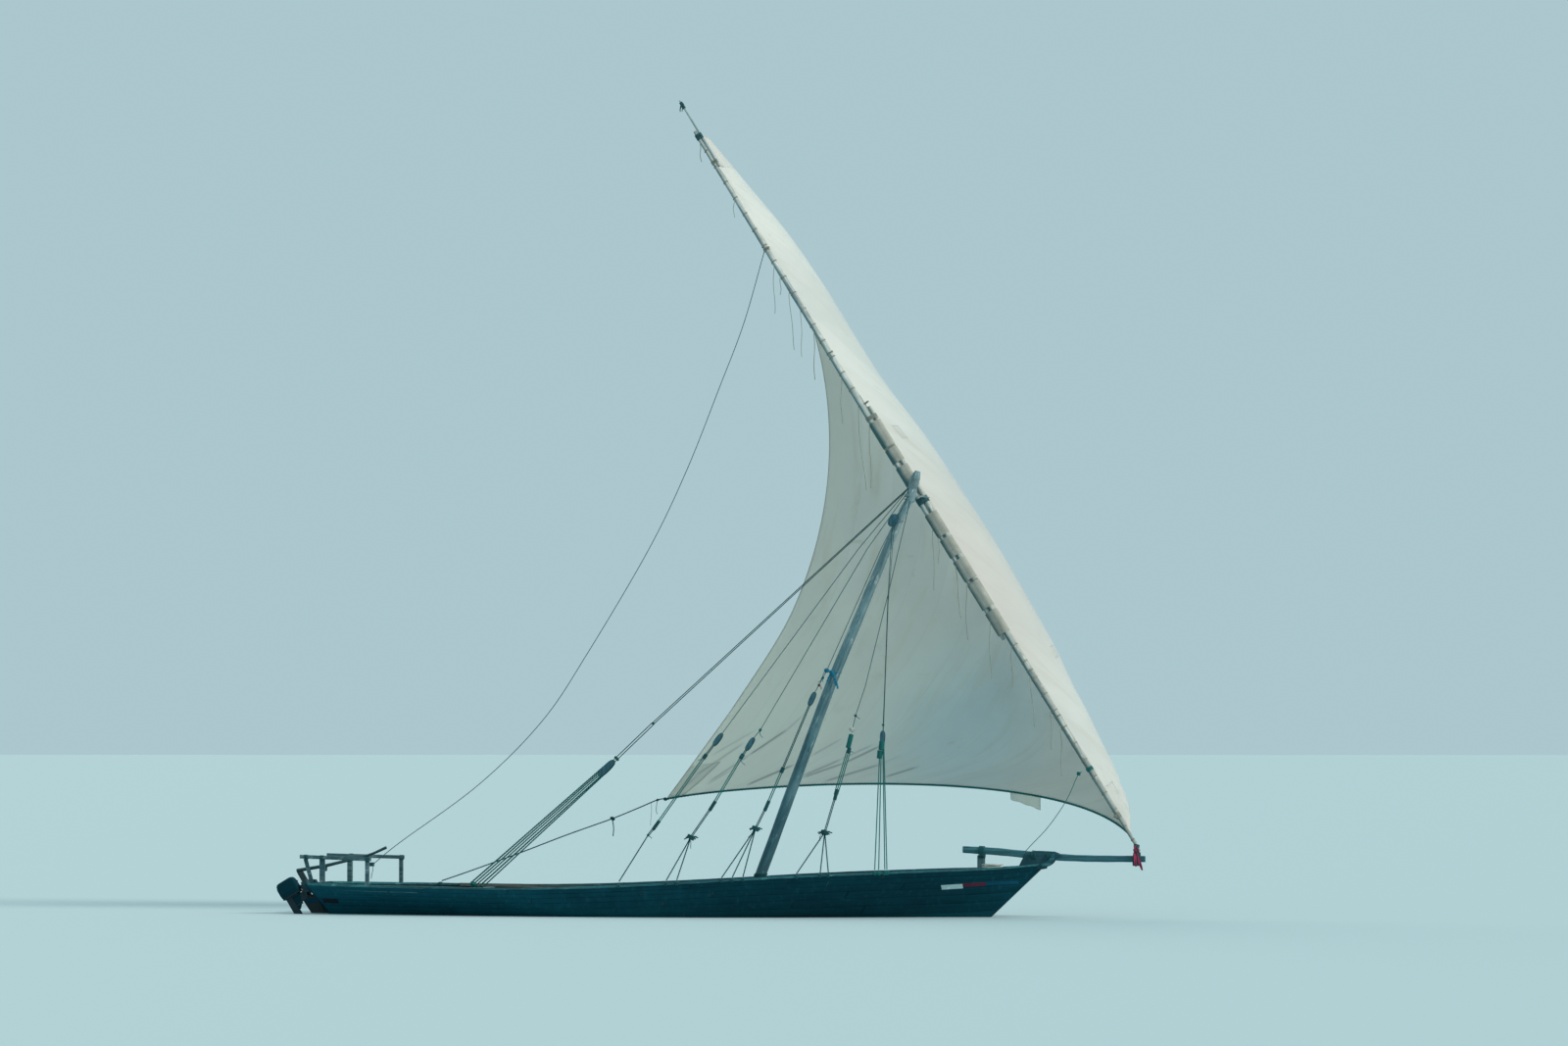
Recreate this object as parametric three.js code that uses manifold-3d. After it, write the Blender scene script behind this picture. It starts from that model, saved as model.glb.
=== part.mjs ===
// A wooden coastal dhow with one lateen sail, afloat at its waterline.
// Millimetres. +X is forward to the bow, +Y is to port, +Z is up.
// The origin is on the waterline, on the centre plane, halfway along the hull.
import * as THREE from 'three';
import { mergeVertices } from 'three/addons/utils/BufferGeometryUtils.js';
import Module from 'manifold-3d';

const wasm = await Module();
wasm.setup();

const GAP = 0.3; // between two pieces that touch on the real boat
const RAKE = 0.6; // the transom, sternpost and rudder lean aft by this much for each unit up
const UP_THE_RAKE = new THREE.Vector3(-RAKE, 0, 1).normalize();
const RAKE_ANGLE = -Math.atan(RAKE);

// Driving dimensions of the hull
const TRANSOM_TOP = { x: -9800, z: 830 };
const TRANSOM_THICK = 60;
const SIDING = 90; // half the thickness of keel, stem and sternpost
const POST_DEPTH = 200;
const PLANK = 45;
const STEM_FACE_AT_WATER = 8490;
const STEM_RAKE = 1.06;
const STEM_DEPTH = 40; // from the stem's face back to the ends of the planks
const FOREFOOT = { z: -200, bend: 0.00059 };
const KEEL = { aft_z: -1350, fore_z: -1150, fore_x: 6900, top: -8 };
const RAIL = { thick: 60, outside: 20, inside: 130 };
const RIB = { depth: 85, width: 90, spacing: 1150, first: 650, below_sheer: 60 };
const KEELSON = { half: 110, top: -860, ends: 300 };
const HOLD = { aft: -6500, fore: 4600, aft_beam: -5530, middle_beam: -1825, floor_z: -440, floor_thick: 40 };
const DECK_THICK = 45;
const BULKHEAD_THICK = 40;

// The hull's lines from the transom, 0, to the stem, 1.
// fullness rounds the bilge, and hollow draws the planks in to the keel.
const LINES = [
  { share: 0.00, sheer: 765, half_beam: 1250, rabbet: -1150, fullness: 2.0, hollow: 1.5 },
  { share: 0.13, sheer: 725, half_beam: 1850, rabbet: -1130, fullness: 2.4, hollow: 1.0 },
  { share: 0.33, sheer: 695, half_beam: 2370, rabbet: -1100, fullness: 3.0, hollow: 0.35 },
  { share: 0.50, sheer: 815, half_beam: 2470, rabbet: -1075, fullness: 3.2, hollow: 0.15 },
  { share: 0.70, sheer: 1040, half_beam: 2180, rabbet: -1050, fullness: 2.6, hollow: 0.3 },
  { share: 0.86, sheer: 1180, half_beam: 1420, rabbet: -1020, fullness: 1.8, hollow: 0.6 },
  { share: 0.96, sheer: 1265, half_beam: 520, rabbet: -1000, fullness: 1.3, hollow: 0.7 },
  { share: 1.00, sheer: 1350, half_beam: SIDING, rabbet: -980, fullness: 1.0, hollow: 0.8 },
];
const STATIONS = [0, 0.04, 0.09, 0.16, 0.24, 0.33, 0.42, 0.5, 0.58, 0.66, 0.74, 0.81, 0.87, 0.92, 0.96, 1];
const GIRTHS = [0, 0.08, 0.2, 0.34, 0.5, 0.66, 0.83, 1];

// Driving dimensions of the rig
const MAST_SIDES = 12;
const MAST = [
  { z: -700, x: 1648, radius: 150 },
  { z: 800, x: 2214, radius: 150 },
  { z: 6046, x: 4192, radius: 142 },
  { z: 10500, x: 6089, radius: 115 },
  { z: 11700, x: 6600, radius: 75 },
];
const YARD = { tack: [12230, 0, 1894], tip: [-10, 480, 21694] };
const YARD_OVERLAP = 77.2; // each spar's axis from the line between them
const LUFF_OFFSET = [100, 150, 0]; // the sail's edge from the yard's axis
const SAIL_THICK = 3;

// The sail from its foot, 0, to its head, 1. Each row is a cubic curve from the yard to the free edge:
// edge is its end there, and out and back are its two handles from the yard and from the edge.
const SAIL_ROWS = [
  { share: 0.00, edge: [-1220, 4200, 3030], out: [-2290, 2600, 2170], back: [1500, 700, 370] },
  { share: 0.06, edge: [-530, 4700, 4100], out: [1500, 2940, 1500], back: [3700, 750, 700] },
  { share: 0.15, edge: [470, 5400, 5680], out: [2230, 3410, 900], back: [3600, 800, 500] },
  { share: 0.30, edge: [1980, 6000, 8330], out: [2570, 3770, 400], back: [3200, 800, 200] },
  { share: 0.50, edge: [2950, 5800, 11860], out: [2030, 2960, 0], back: [2400, 600, 0] },
  { share: 0.70, edge: [2950, 4400, 15390], out: [790, 1510, 0], back: [1500, 500, 0] },
  { share: 0.85, edge: [2150, 2750, 18040], out: [500, 840, 0], back: [800, 250, 0] },
  { share: 1.00, edge: [690, 1120, 20700], out: [40, 40, 0], back: [60, 20, 0] },
];
const SAIL_ROW_SHARES = [0, 0.03, 0.06, 0.1, 0.15, 0.22, 0.3, 0.4, 0.5, 0.6, 0.7, 0.78, 0.85, 0.92, 1];
const BOLT_ROPE_R = 12; // along the sail's edge beside the yard
const SAIL_COLUMNS = 12;
const SAIL_FOOT_Z = 2100; // on the yard
const SAIL_HEAD_Z = 20690;
const ROBANDS = { heights: [3400, 5000, 6600], cord_r: 9, thick: 13, half_wide: 12, sides: 24 };

// Colours and finishes
const FINISHES = {
  black_hull: { color: '#0d1416', roughness: 0.55, metalness: 0 },
  grey_wood: { color: '#6f706a', roughness: 0.85, metalness: 0 },
  brown_wood: { color: '#5a4436', roughness: 0.8, metalness: 0 },
  spar_wood: { color: '#7d7a70', roughness: 0.8, metalness: 0 },
  rope: { color: '#3f5b50', roughness: 0.95, metalness: 0 },
  canvas: { color: '#d8d4c2', roughness: 0.95, metalness: 0 },
  iron: { color: '#4a3a32', roughness: 0.7, metalness: 0.8 },
  motor_plastic: { color: '#15191b', roughness: 0.4, metalness: 0 },
  motor_metal: { color: '#2a2f31', roughness: 0.45, metalness: 0.7 },
};

const boat = new THREE.Group();

function add(name, finish, geometry, parent = boat) {
  const mesh = new THREE.Mesh(geometry, new THREE.MeshStandardMaterial(FINISHES[finish]));
  mesh.name = name;
  parent.add(mesh);
  return mesh;
}

const vec = (p) => new THREE.Vector3(p[0], p[1], p[2]);

// Solids from points

function signedVolume(points, faces) {
  return faces.reduce((sum, [a, b, c]) => sum + points[a].dot(points[b].clone().cross(points[c])), 0) / 6;
}

function closedGeometry(points, faces) {
  const outward = signedVolume(points, faces) > 0;
  const index = faces.flatMap(([a, b, c]) => (outward ? [a, b, c] : [a, c, b]));
  const geometry = new THREE.BufferGeometry();
  const numbers = points.flatMap((p) => [p.x, p.y, p.z]);
  geometry.setAttribute('position', new THREE.Float32BufferAttribute(numbers, 3));
  geometry.setIndex(index);
  return geometry;
}

// A solid between two grids of points, such as the outside and the inside of a skin
function slab(outer, inner) {
  const rows = outer.length;
  const columns = outer[0].length;
  const at = (side, i, j) => (side * rows + i) * columns + j;
  const faces = [];
  const quad = (a, b, c, d) => faces.push([a, b, c], [a, c, d]);
  for (let i = 0; i < rows - 1; i += 1) {
    for (let j = 0; j < columns - 1; j += 1) {
      quad(at(0, i, j), at(0, i + 1, j), at(0, i + 1, j + 1), at(0, i, j + 1));
      quad(at(1, i, j), at(1, i, j + 1), at(1, i + 1, j + 1), at(1, i + 1, j));
    }
  }
  for (let i = 0; i < rows - 1; i += 1) {
    const last = columns - 1;
    quad(at(0, i, 0), at(1, i, 0), at(1, i + 1, 0), at(0, i + 1, 0));
    quad(at(0, i, last), at(0, i + 1, last), at(1, i + 1, last), at(1, i, last));
  }
  for (let j = 0; j < columns - 1; j += 1) {
    const last = rows - 1;
    quad(at(0, 0, j), at(0, 0, j + 1), at(1, 0, j + 1), at(1, 0, j));
    quad(at(0, last, j), at(1, last, j), at(1, last, j + 1), at(0, last, j + 1));
  }
  return closedGeometry([...outer.flat(), ...inner.flat()], faces);
}

// A solid through closed rings of points, with flat ends
function loft(rings) {
  const sides = rings[0].length;
  const faces = [];
  for (let i = 0; i < rings.length - 1; i += 1) {
    for (let j = 0; j < sides; j += 1) {
      const k = (j + 1) % sides;
      faces.push([i * sides + j, i * sides + k, (i + 1) * sides + k]);
      faces.push([i * sides + j, (i + 1) * sides + k, (i + 1) * sides + j]);
    }
  }
  const end = (rings.length - 1) * sides;
  for (let j = 1; j < sides - 1; j += 1) {
    faces.push([0, j + 1, j], [end, end + j, end + j + 1]);
  }
  return closedGeometry(rings.flat(), faces);
}

// Directions across a run, one level and one upright as far as the run lets them
function across(direction) {
  const upright = Math.abs(direction.z) > 0.95 ? new THREE.Vector3(1, 0, 0) : new THREE.Vector3(0, 0, 1);
  const level = direction.clone().cross(upright).normalize();
  return [level, level.clone().cross(direction).normalize()];
}

// A bar along a line of points; section gives the ring's corners for a radius of one
function bar(points, radii, section) {
  const rings = points.map((point, i) => {
    const before = points[Math.max(i - 1, 0)];
    const after = points[Math.min(i + 1, points.length - 1)];
    const [level, upright] = across(after.clone().sub(before).normalize());
    return section.map(([u, v]) => point.clone()
      .addScaledVector(level, u * radii[i])
      .addScaledVector(upright, v * radii[i]));
  });
  return loft(rings);
}

function roundSection(sides) {
  return Array.from({ length: sides }, (_, i) => {
    const turn = (2 * Math.PI * (i + 0.5)) / sides;
    return [Math.cos(turn), Math.sin(turn)];
  });
}

const SQUARE = [[1, 1], [-1, 1], [-1, -1], [1, -1]];
const HEWN = [
  [1, 0.75], [0.75, 1], [-0.75, 1], [-1, 0.75], [-1, -0.75], [-0.75, -1], [0.75, -1], [1, -0.75],
];

function roundBar(points, radii, sides = 10) {
  return bar(points, radii, roundSection(sides));
}

// A flat timber cut to an outline in the X-Z plane, centred on y
function timber(outline, thick, y = 0) {
  const shape = new THREE.Shape(outline.map(([x, z]) => new THREE.Vector2(x, z)));
  const geometry = new THREE.ExtrudeGeometry(shape, { depth: thick, bevelEnabled: false });
  geometry.rotateX(Math.PI / 2);
  geometry.translate(0, y + thick / 2, 0);
  return geometry;
}

function box(low, high) {
  const size = high.map((value, i) => value - low[i]);
  const geometry = new THREE.BoxGeometry(...size);
  geometry.translate(...low.map((value, i) => value + size[i] / 2));
  return geometry;
}

// Booleans

function solidOf(geometry) {
  const bare = geometry.clone();
  bare.deleteAttribute('normal');
  bare.deleteAttribute('uv');
  const merged = mergeVertices(bare, 0.001);
  return new wasm.Manifold(new wasm.Mesh({
    numProp: 3,
    vertProperties: new Float32Array(merged.attributes.position.array),
    triVerts: new Uint32Array(merged.index.array),
  }));
}

function geometryOf(solid) {
  const mesh = solid.getMesh();
  const geometry = new THREE.BufferGeometry();
  geometry.setAttribute('position', new THREE.Float32BufferAttribute(mesh.vertProperties, 3));
  geometry.setIndex(new THREE.Uint32BufferAttribute(mesh.triVerts, 1));
  return geometry;
}

const joined = (solids) => solids.reduce((whole, solid) => whole.add(solid));

// The hull's surface

const linesOf = new THREE.CubicInterpolant(
  LINES.map((row) => row.share),
  LINES.flatMap((row) => [row.sheer, row.half_beam, row.rabbet, row.fullness, row.hollow]),
  5,
);

function linesAt(share) {
  const [sheer, half_beam, rabbet, fullness, hollow] = linesOf.evaluate(share);
  return { sheer, half_beam, rabbet, fullness, hollow };
}

const transomX = (z) => TRANSOM_TOP.x + (TRANSOM_TOP.z - z) * RAKE;
const postBackX = (z) => transomX(z) - TRANSOM_THICK - POST_DEPTH;

function stemFaceX(z) {
  const below = Math.max(0, FOREFOOT.z - z);
  return STEM_FACE_AT_WATER + STEM_RAKE * z - FOREFOOT.bend * below * below;
}

function hullPoint(share, girth) {
  const { sheer, half_beam, rabbet, fullness, hollow } = linesAt(share);
  const z = rabbet + (sheer - rabbet) * girth;
  const swell = girth ** hollow * (1 - (1 - girth) ** fullness);
  const aft = transomX(z);
  const fore = stemFaceX(z) - STEM_DEPTH;
  return new THREE.Vector3(aft + (fore - aft) * share, SIDING + GAP + (half_beam - SIDING) * swell, z);
}

function hullNormal(share, girth) {
  const step = 0.01;
  const alongA = hullPoint(Math.max(share - step, 0), girth);
  const alongB = hullPoint(Math.min(share + step, 1), girth);
  const upA = hullPoint(share, Math.max(girth - step, 0.001));
  const upB = hullPoint(share, Math.min(girth + step, 1));
  return alongB.sub(alongA).cross(upB.sub(upA)).normalize().negate();
}

// The port side's grid of points, this far in from the outside of the planks
function hullGrid(inward) {
  return STATIONS.map((share) => GIRTHS.map((girth) => {
    const normal = hullNormal(share, girth);
    const point = hullPoint(share, girth);
    if (girth === 1) {
      point.y -= inward / Math.abs(normal.y);
    } else {
      point.addScaledVector(normal, -Math.sign(normal.y) * inward);
    }
    point.y = Math.max(point.y, SIDING + GAP);
    return point;
  }));
}

const mirrored = (grid) => grid.map((row) => row.map((p) => new THREE.Vector3(p.x, -p.y, p.z)));

// The space inside the skin, this far in from its outside, as one solid that rises above the rails
function insideHull(inward) {
  const above = 600;
  const past_centre = -1;
  const side = hullGrid(inward).map((row) => {
    const top = row[row.length - 1].clone();
    top.z += above;
    return [...row, top];
  });
  const centre = side.map((row) => row.map((p) => new THREE.Vector3(p.x, past_centre, p.z)));
  return solidOf(slab(side, centre)).add(solidOf(slab(mirrored(side), mirrored(centre))));
}

// Backbone

function addBackbone() {
  const keelTop = (x) => {
    const share = (x - transomX(-1100)) / (stemFaceX(-1000) - STEM_DEPTH - transomX(-1100));
    return linesAt(THREE.MathUtils.clamp(share, 0, 1)).rabbet + KEEL.top;
  };
  const foreTop = KEEL.fore_z + 160;
  const postFoot = linesAt(0).rabbet + KEEL.top + GAP;
  const postFront = transomX(postFoot) + 120;
  const topLine = [0, 0.25, 0.5, 0.75, 1].map((share) => {
    const x = THREE.MathUtils.lerp(postFront, stemFaceX(foreTop), share);
    return [x, share === 1 ? foreTop : keelTop(x)];
  });
  topLine[0][1] = postFoot - GAP;
  add('keel', 'black_hull', timber([
    [postBackX(KEEL.aft_z), KEEL.aft_z],
    [KEEL.fore_x, KEEL.fore_z],
    ...topLine.reverse(),
    [postBackX(postFoot - GAP), postFoot - GAP],
  ], 2 * SIDING));

  const stemHead = 1515;
  const stemFoot = foreTop + GAP;
  const behindPlanks = 150;
  const faceHeights = [stemFoot, -600, -200, 400, 1000, stemHead];
  const faceLine = faceHeights.map((z) => [stemFaceX(z), z]);
  const backLine = faceHeights.reverse().map((z) => [stemFaceX(z) - STEM_DEPTH - behindPlanks, z]);
  add('stem', 'black_hull', timber([...faceLine, ...backLine], 2 * SIDING));

  const postTop = 900;
  const notch = -950;
  add('sternpost', 'black_hull', timber([
    [postBackX(postFoot), postFoot],
    [postFront, postFoot],
    [transomX(notch) + 120, notch],
    [transomX(notch) - TRANSOM_THICK - 2 * GAP, notch],
    [transomX(postTop) - TRANSOM_THICK - 2 * GAP, postTop],
    [postBackX(postTop), postTop],
  ], 2 * SIDING));
}

// Skin, transom and rails

function addSkin() {
  const outer = hullGrid(0);
  const inner = hullGrid(PLANK);
  add('planking_port', 'black_hull', slab(outer, inner));
  add('planking_starboard', 'black_hull', slab(mirrored(outer), mirrored(inner)));

  const bottom = -940;
  const aftLines = linesAt(0);
  const rungs = [0, 0.15, 0.3, 0.45, 0.6, 0.75, 0.88, 1].map((share) => {
    const z = THREE.MathUtils.lerp(bottom, aftLines.sheer + RAIL.thick, share);
    const girth = Math.min(1, (z - aftLines.rabbet) / (aftLines.sheer - aftLines.rabbet));
    return [z, hullPoint(0, girth).y];
  });
  const face = (back) => rungs.map(([z, y]) => [-y, y].map((side) => new THREE.Vector3(
    transomX(z) - back, side, z,
  )));
  add('transom', 'black_hull', slab(face(GAP), face(TRANSOM_THICK)));

  const railRing = (share, side) => {
    const edge = hullPoint(share, 1);
    const low = edge.z + GAP;
    const high = low + RAIL.thick;
    const outside = edge.y + RAIL.outside;
    const inside = Math.max(edge.y - RAIL.inside, SIDING + GAP);
    return [[outside, low], [outside, high], [inside, high], [inside, low]]
      .map(([y, z]) => new THREE.Vector3(edge.x, side * y, z));
  };
  for (const [name, side] of [['rail_port', 1], ['rail_starboard', -1]]) {
    add(name, 'grey_wood', loft(STATIONS.map((share) => railRing(share, side))));
  }
}

// Inside: frames, floor, decks, bulkheads and beams

const BEAM = { width: 160, depth: 150, below_sheer: 20 };
const DECKS = { fore: 45, aft: 55 }; // below the sheer at the deck's edge
const CAMBER = { centre: 40, edge: -60, half: 3000 };

function shareAt(x) {
  let sheer = 900;
  let share = 0;
  for (let i = 0; i < 6; i += 1) {
    const aft = transomX(sheer);
    share = THREE.MathUtils.clamp((x - aft) / (stemFaceX(sheer) - STEM_DEPTH - aft), 0, 1);
    sheer = linesAt(share).sheer;
  }
  return share;
}

const sheerAt = (x) => linesAt(shareAt(x)).sheer;
const halfBeamAt = (x) => linesAt(shareAt(x)).half_beam;
const railTopAt = (x) => sheerAt(x) + GAP + RAIL.thick;

const FOREDECK_RUN = [4560, 5600, 6800, 8000, 9000, 9900];
const AFTERDECK_RUN = [-9760, -8800, -7600, -6460];

// The space between two levels that follow a deck's run and camber
function deckSpace(xs, drop, above, below) {
  const level = (height) => xs.map((x) => [-CAMBER.half, 0, CAMBER.half].map((y) => new THREE.Vector3(
    x, y, sheerAt(x) - drop + height + (y === 0 ? CAMBER.centre : CAMBER.edge),
  )));
  return solidOf(slab(level(above), level(-below)));
}

function mastAxis(z) {
  const above = MAST.findIndex((place) => place.z > z);
  const next = above < 1 ? (above === 0 ? 1 : MAST.length - 1) : above;
  const [low, high] = [MAST[next - 1], MAST[next]];
  return new THREE.Vector3(THREE.MathUtils.mapLinear(z, low.z, high.z, low.x, high.x), 0, z);
}

const MAST_FOOT_LEAN = (MAST[1].x - MAST[0].x) / (MAST[1].z - MAST[0].z);

function addInside() {
  const shell = insideHull(PLANK + 0.5);
  const wide = CAMBER.half;
  const slice = (low, high, bottom, top) => solidOf(box([low, -wide, bottom], [high, wide, top]));

  const belowPlanks = -1200;
  const hoop = shell.subtract(insideHull(PLANK + 0.5 + RIB.depth));
  const ribs = [];
  for (let x = HOLD.aft + RIB.first; x < HOLD.fore - KEELSON.ends; x += RIB.spacing) {
    const ribTop = sheerAt(x) - RIB.below_sheer;
    ribs.push(hoop.intersect(slice(x - RIB.width / 2, x + RIB.width / 2, belowPlanks, ribTop)));
  }
  const { half: keelsonHalf, top: keelsonTop, ends } = KEELSON;
  const keelson = shell.intersect(solidOf(box(
    [HOLD.aft + ends, -keelsonHalf, belowPlanks],
    [HOLD.fore - ends, keelsonHalf, keelsonTop],
  )));
  add('hold_frames', 'brown_wood', geometryOf(joined([keelson, ...ribs])));

  const floorSpace = insideHull(PLANK + RIB.depth + 1);
  const mastHole = solidOf(box([1430, -260, -600], [2050, 260, -300]));
  const floorEnds = 60;
  const floorLayer = slice(
    HOLD.aft + floorEnds, HOLD.fore - floorEnds, HOLD.floor_z - HOLD.floor_thick, HOLD.floor_z,
  );
  add('hold_floor', 'brown_wood', geometryOf(floorSpace.intersect(floorLayer).subtract(mastHole)));

  const besideTimber = 2 * SIDING + 1;
  const stemHeadOutline = [[9000, 900], [10400, 900], [10400, 1600], [9420, 1600]];
  const postHeadOutline = [[-10500, 200], [-9560, 200], [-9700, 900], [-10500, 900]];
  const stemHeadSpace = solidOf(timber(stemHeadOutline, besideTimber));
  const postHeadSpace = solidOf(timber(postHeadOutline, besideTimber));
  add('foredeck', 'grey_wood', geometryOf(
    shell.intersect(deckSpace(FOREDECK_RUN, DECKS.fore, 0, DECK_THICK)).subtract(stemHeadSpace),
  ));
  add('afterdeck', 'grey_wood', geometryOf(
    shell.intersect(deckSpace(AFTERDECK_RUN, DECKS.aft, 0, DECK_THICK)).subtract(postHeadSpace),
  ));
  const aboveRails = 1500;
  const bulkhead = (x, drop) => shell
    .intersect(slice(x - BULKHEAD_THICK / 2, x + BULKHEAD_THICK / 2, belowPlanks, aboveRails))
    .subtract(deckSpace([x - 60, x + 60], drop, aboveRails, DECK_THICK + GAP));
  add('bulkhead_aft', 'brown_wood', geometryOf(bulkhead(HOLD.aft, DECKS.aft)));
  add('bulkhead_forward', 'brown_wood', geometryOf(bulkhead(HOLD.fore, DECKS.fore)));

  const mastBeamLow = sheerAt(1940) - BEAM.below_sheer - BEAM.depth;
  const mastBack = MAST[0].radius * Math.cos(Math.PI / MAST_SIDES) * Math.hypot(1, MAST_FOOT_LEAN);
  const mastBeamX = mastAxis(mastBeamLow).x - mastBack - GAP - BEAM.width / 2;
  const beams = [
    ['hold_beam_aft', HOLD.aft_beam], ['hold_beam_middle', HOLD.middle_beam], ['mast_beam', mastBeamX],
  ];
  for (const [name, x] of beams) {
    const top = sheerAt(x) - BEAM.below_sheer;
    add(name, 'grey_wood', geometryOf(
      shell.intersect(slice(x - BEAM.width / 2, x + BEAM.width / 2, top - BEAM.depth, top)),
    ));
  }
}

// Mast and its step

function mastShape(spare = 0) {
  return roundBar(MAST.map(({ z }) => mastAxis(z)), MAST.map(({ radius }) => radius + spare), MAST_SIDES);
}

function addMast() {
  add('mast', 'spar_wood', mastShape());
  const heel = mastAxis(MAST[0].z);
  const acrossFlats = MAST[0].radius * Math.cos(Math.PI / MAST_SIDES);
  const heelLow = heel.z - acrossFlats * Math.sin(Math.atan(MAST_FOOT_LEAN));
  const stepLow = KEELSON.top + GAP;
  add('mast_step', 'brown_wood', box([heel.x - 420, -105, stepLow], [heel.x + 360, 105, heelLow - GAP]));
}

// Every shroud is set up to windward, on the starboard side. Each is a line with a swelling at each of its
// blocks, whose places are shares of its length from its foot, and top is its height on the mast.

const SHROUDS = [
  { name: 'shroud_1', foot: [-930, -2455, 935], top: 11480, blocks: [0.17, 0.36] },
  { name: 'shroud_2', foot: [340, -2465, 975], top: 11435, blocks: [0.22, 0.39] },
  { name: 'shroud_3', foot: [2080, -2370, 1060], top: 11390, blocks: [0.19, 0.45] },
  { name: 'shroud_4', foot: [4400, -2080, 1185], top: 11345, blocks: [0.17, 0.35] },
];
const SHROUD_R = 14;
const BLOCK_R = 60;

function shroudShape({ foot, top, blocks }, spare = 0) {
  const shares = [0, ...blocks.flatMap((share) => [share - 0.012, share, share + 0.012]), 1];
  return roundBar(
    shares.map((share) => vec(foot).lerp(mastAxis(top), share)),
    shares.map((share) => (blocks.includes(share) ? BLOCK_R : SHROUD_R) + spare),
    8,
  );
}

function addShrouds() {
  for (const shroud of SHROUDS) {
    add(shroud.name, 'rope', geometryOf(solidOf(shroudShape(shroud)).subtract(solidOf(mastShape(GAP)))));
  }
}

// Yard: two spars lashed side by side and a light pole at the peak

const yardTack = vec(YARD.tack);
const yardTip = vec(YARD.tip);
const yardAlong = yardTip.clone().sub(yardTack).normalize();
// Forward and up, square to the yard
const yardAhead = new THREE.Vector3(0, 1, 0).cross(yardAlong).normalize();

function yardPoint(z, ahead = 0) {
  const share = (z - yardTack.z) / (yardTip.z - yardTack.z);
  return yardTack.clone().lerp(yardTip, share).addScaledVector(yardAhead, ahead);
}

// Each spar's heights with the radius there, and how far its axis lies ahead of the yard's line
const SPARS = {
  yard_lower: { rows: [[1700, 60], [4000, 80], [8000, 88], [13400, 55]], ahead: YARD_OVERLAP },
  yard_upper: { rows: [[7300, 55], [9000, 72], [13400, 84], [17000, 74], [20900, 48]], ahead: -YARD_OVERLAP },
  yard_tip: { rows: [[19900, 30], [21694, 24]], ahead: 7 },
};

function sparShape({ rows, ahead }, spare = 0) {
  return roundBar(rows.map(([z]) => yardPoint(z, ahead)), rows.map(([, radius]) => radius + spare));
}

function sparRadius({ rows }, z) {
  const next = rows.findIndex(([rowZ]) => rowZ > z);
  const [[lowZ, lowR], [highZ, highR]] = [rows[next - 1], rows[next]];
  return THREE.MathUtils.mapLinear(z, lowZ, highZ, lowR, highR);
}

function addYard() {
  for (const [name, spar] of Object.entries(SPARS)) {
    add(name, 'spar_wood', sparShape(spar));
  }

  // The lashing that holds the yard to the masthead
  const middle = 11080;
  const toMast = { x: 155, y: 122 };
  const toYard = { x: 205, y: 112 };
  const oval = (centre, radii, z) => roundSection(16).map(([u, v]) => new THREE.Vector3(
    centre.x + u * radii.x, centre.y + v * radii.y, z,
  ));
  const wraps = [[mastAxis, toMast], [yardPoint, toYard]].map(([lineAt, radii]) => solidOf(loft(
    [middle - 90, middle + 90].map((z) => oval(lineAt(z), radii, z)),
  )));
  const between = solidOf(loft([middle - 90, middle + 90].map((z) => [
    [mastAxis(z).x - 60, 0], [mastAxis(z).x + 60, 0],
    [yardPoint(z).x + 60, yardPoint(z).y], [yardPoint(z).x - 60, yardPoint(z).y],
  ].map(([x, y]) => new THREE.Vector3(x, y, z)))));
  const cores = [
    mastShape(2 * GAP),
    sparShape(SPARS.yard_lower, 2 * GAP),
    sparShape(SPARS.yard_upper, 2 * GAP),
  ];
  add('parrel', 'rope', geometryOf(
    [...cores, ...SHROUDS.map((shroud) => shroudShape(shroud, GAP))]
      .reduce((left, core) => left.subtract(solidOf(core)), joined([...wraps, between])),
  ));

  // The lashing that holds the yard's foot down to the bowsprit's end
  const tack = yardPoint(1830, YARD_OVERLAP);
  add('tack_strop', 'rope', geometryOf(
    solidOf(roundBar([vec([tack.x, 0, 1330]), vec([tack.x, 0, 1960])], [105, 105], 12))
      .subtract(solidOf(sparShape(SPARS.yard_lower, 2 * GAP)))
      .subtract(solidOf(bowspritShape(2 * GAP))),
  ));
}

// Sail

const sailRowOf = new THREE.CubicInterpolant(
  SAIL_ROWS.map((row) => row.share),
  SAIL_ROWS.flatMap((row) => [...row.edge, ...row.out, ...row.back]),
  9,
);

function sailPoint(share, reach) {
  const row = [...sailRowOf.evaluate(share)];
  const luff = yardPoint(THREE.MathUtils.lerp(SAIL_FOOT_Z, SAIL_HEAD_Z, share)).add(vec(LUFF_OFFSET));
  const edge = vec(row.slice(0, 3));
  const curve = new THREE.CubicBezierCurve3(
    luff,
    luff.clone().add(vec(row.slice(3, 6))),
    edge.clone().add(vec(row.slice(6, 9))),
    edge,
  );
  return curve.getPoint(reach);
}

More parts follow.
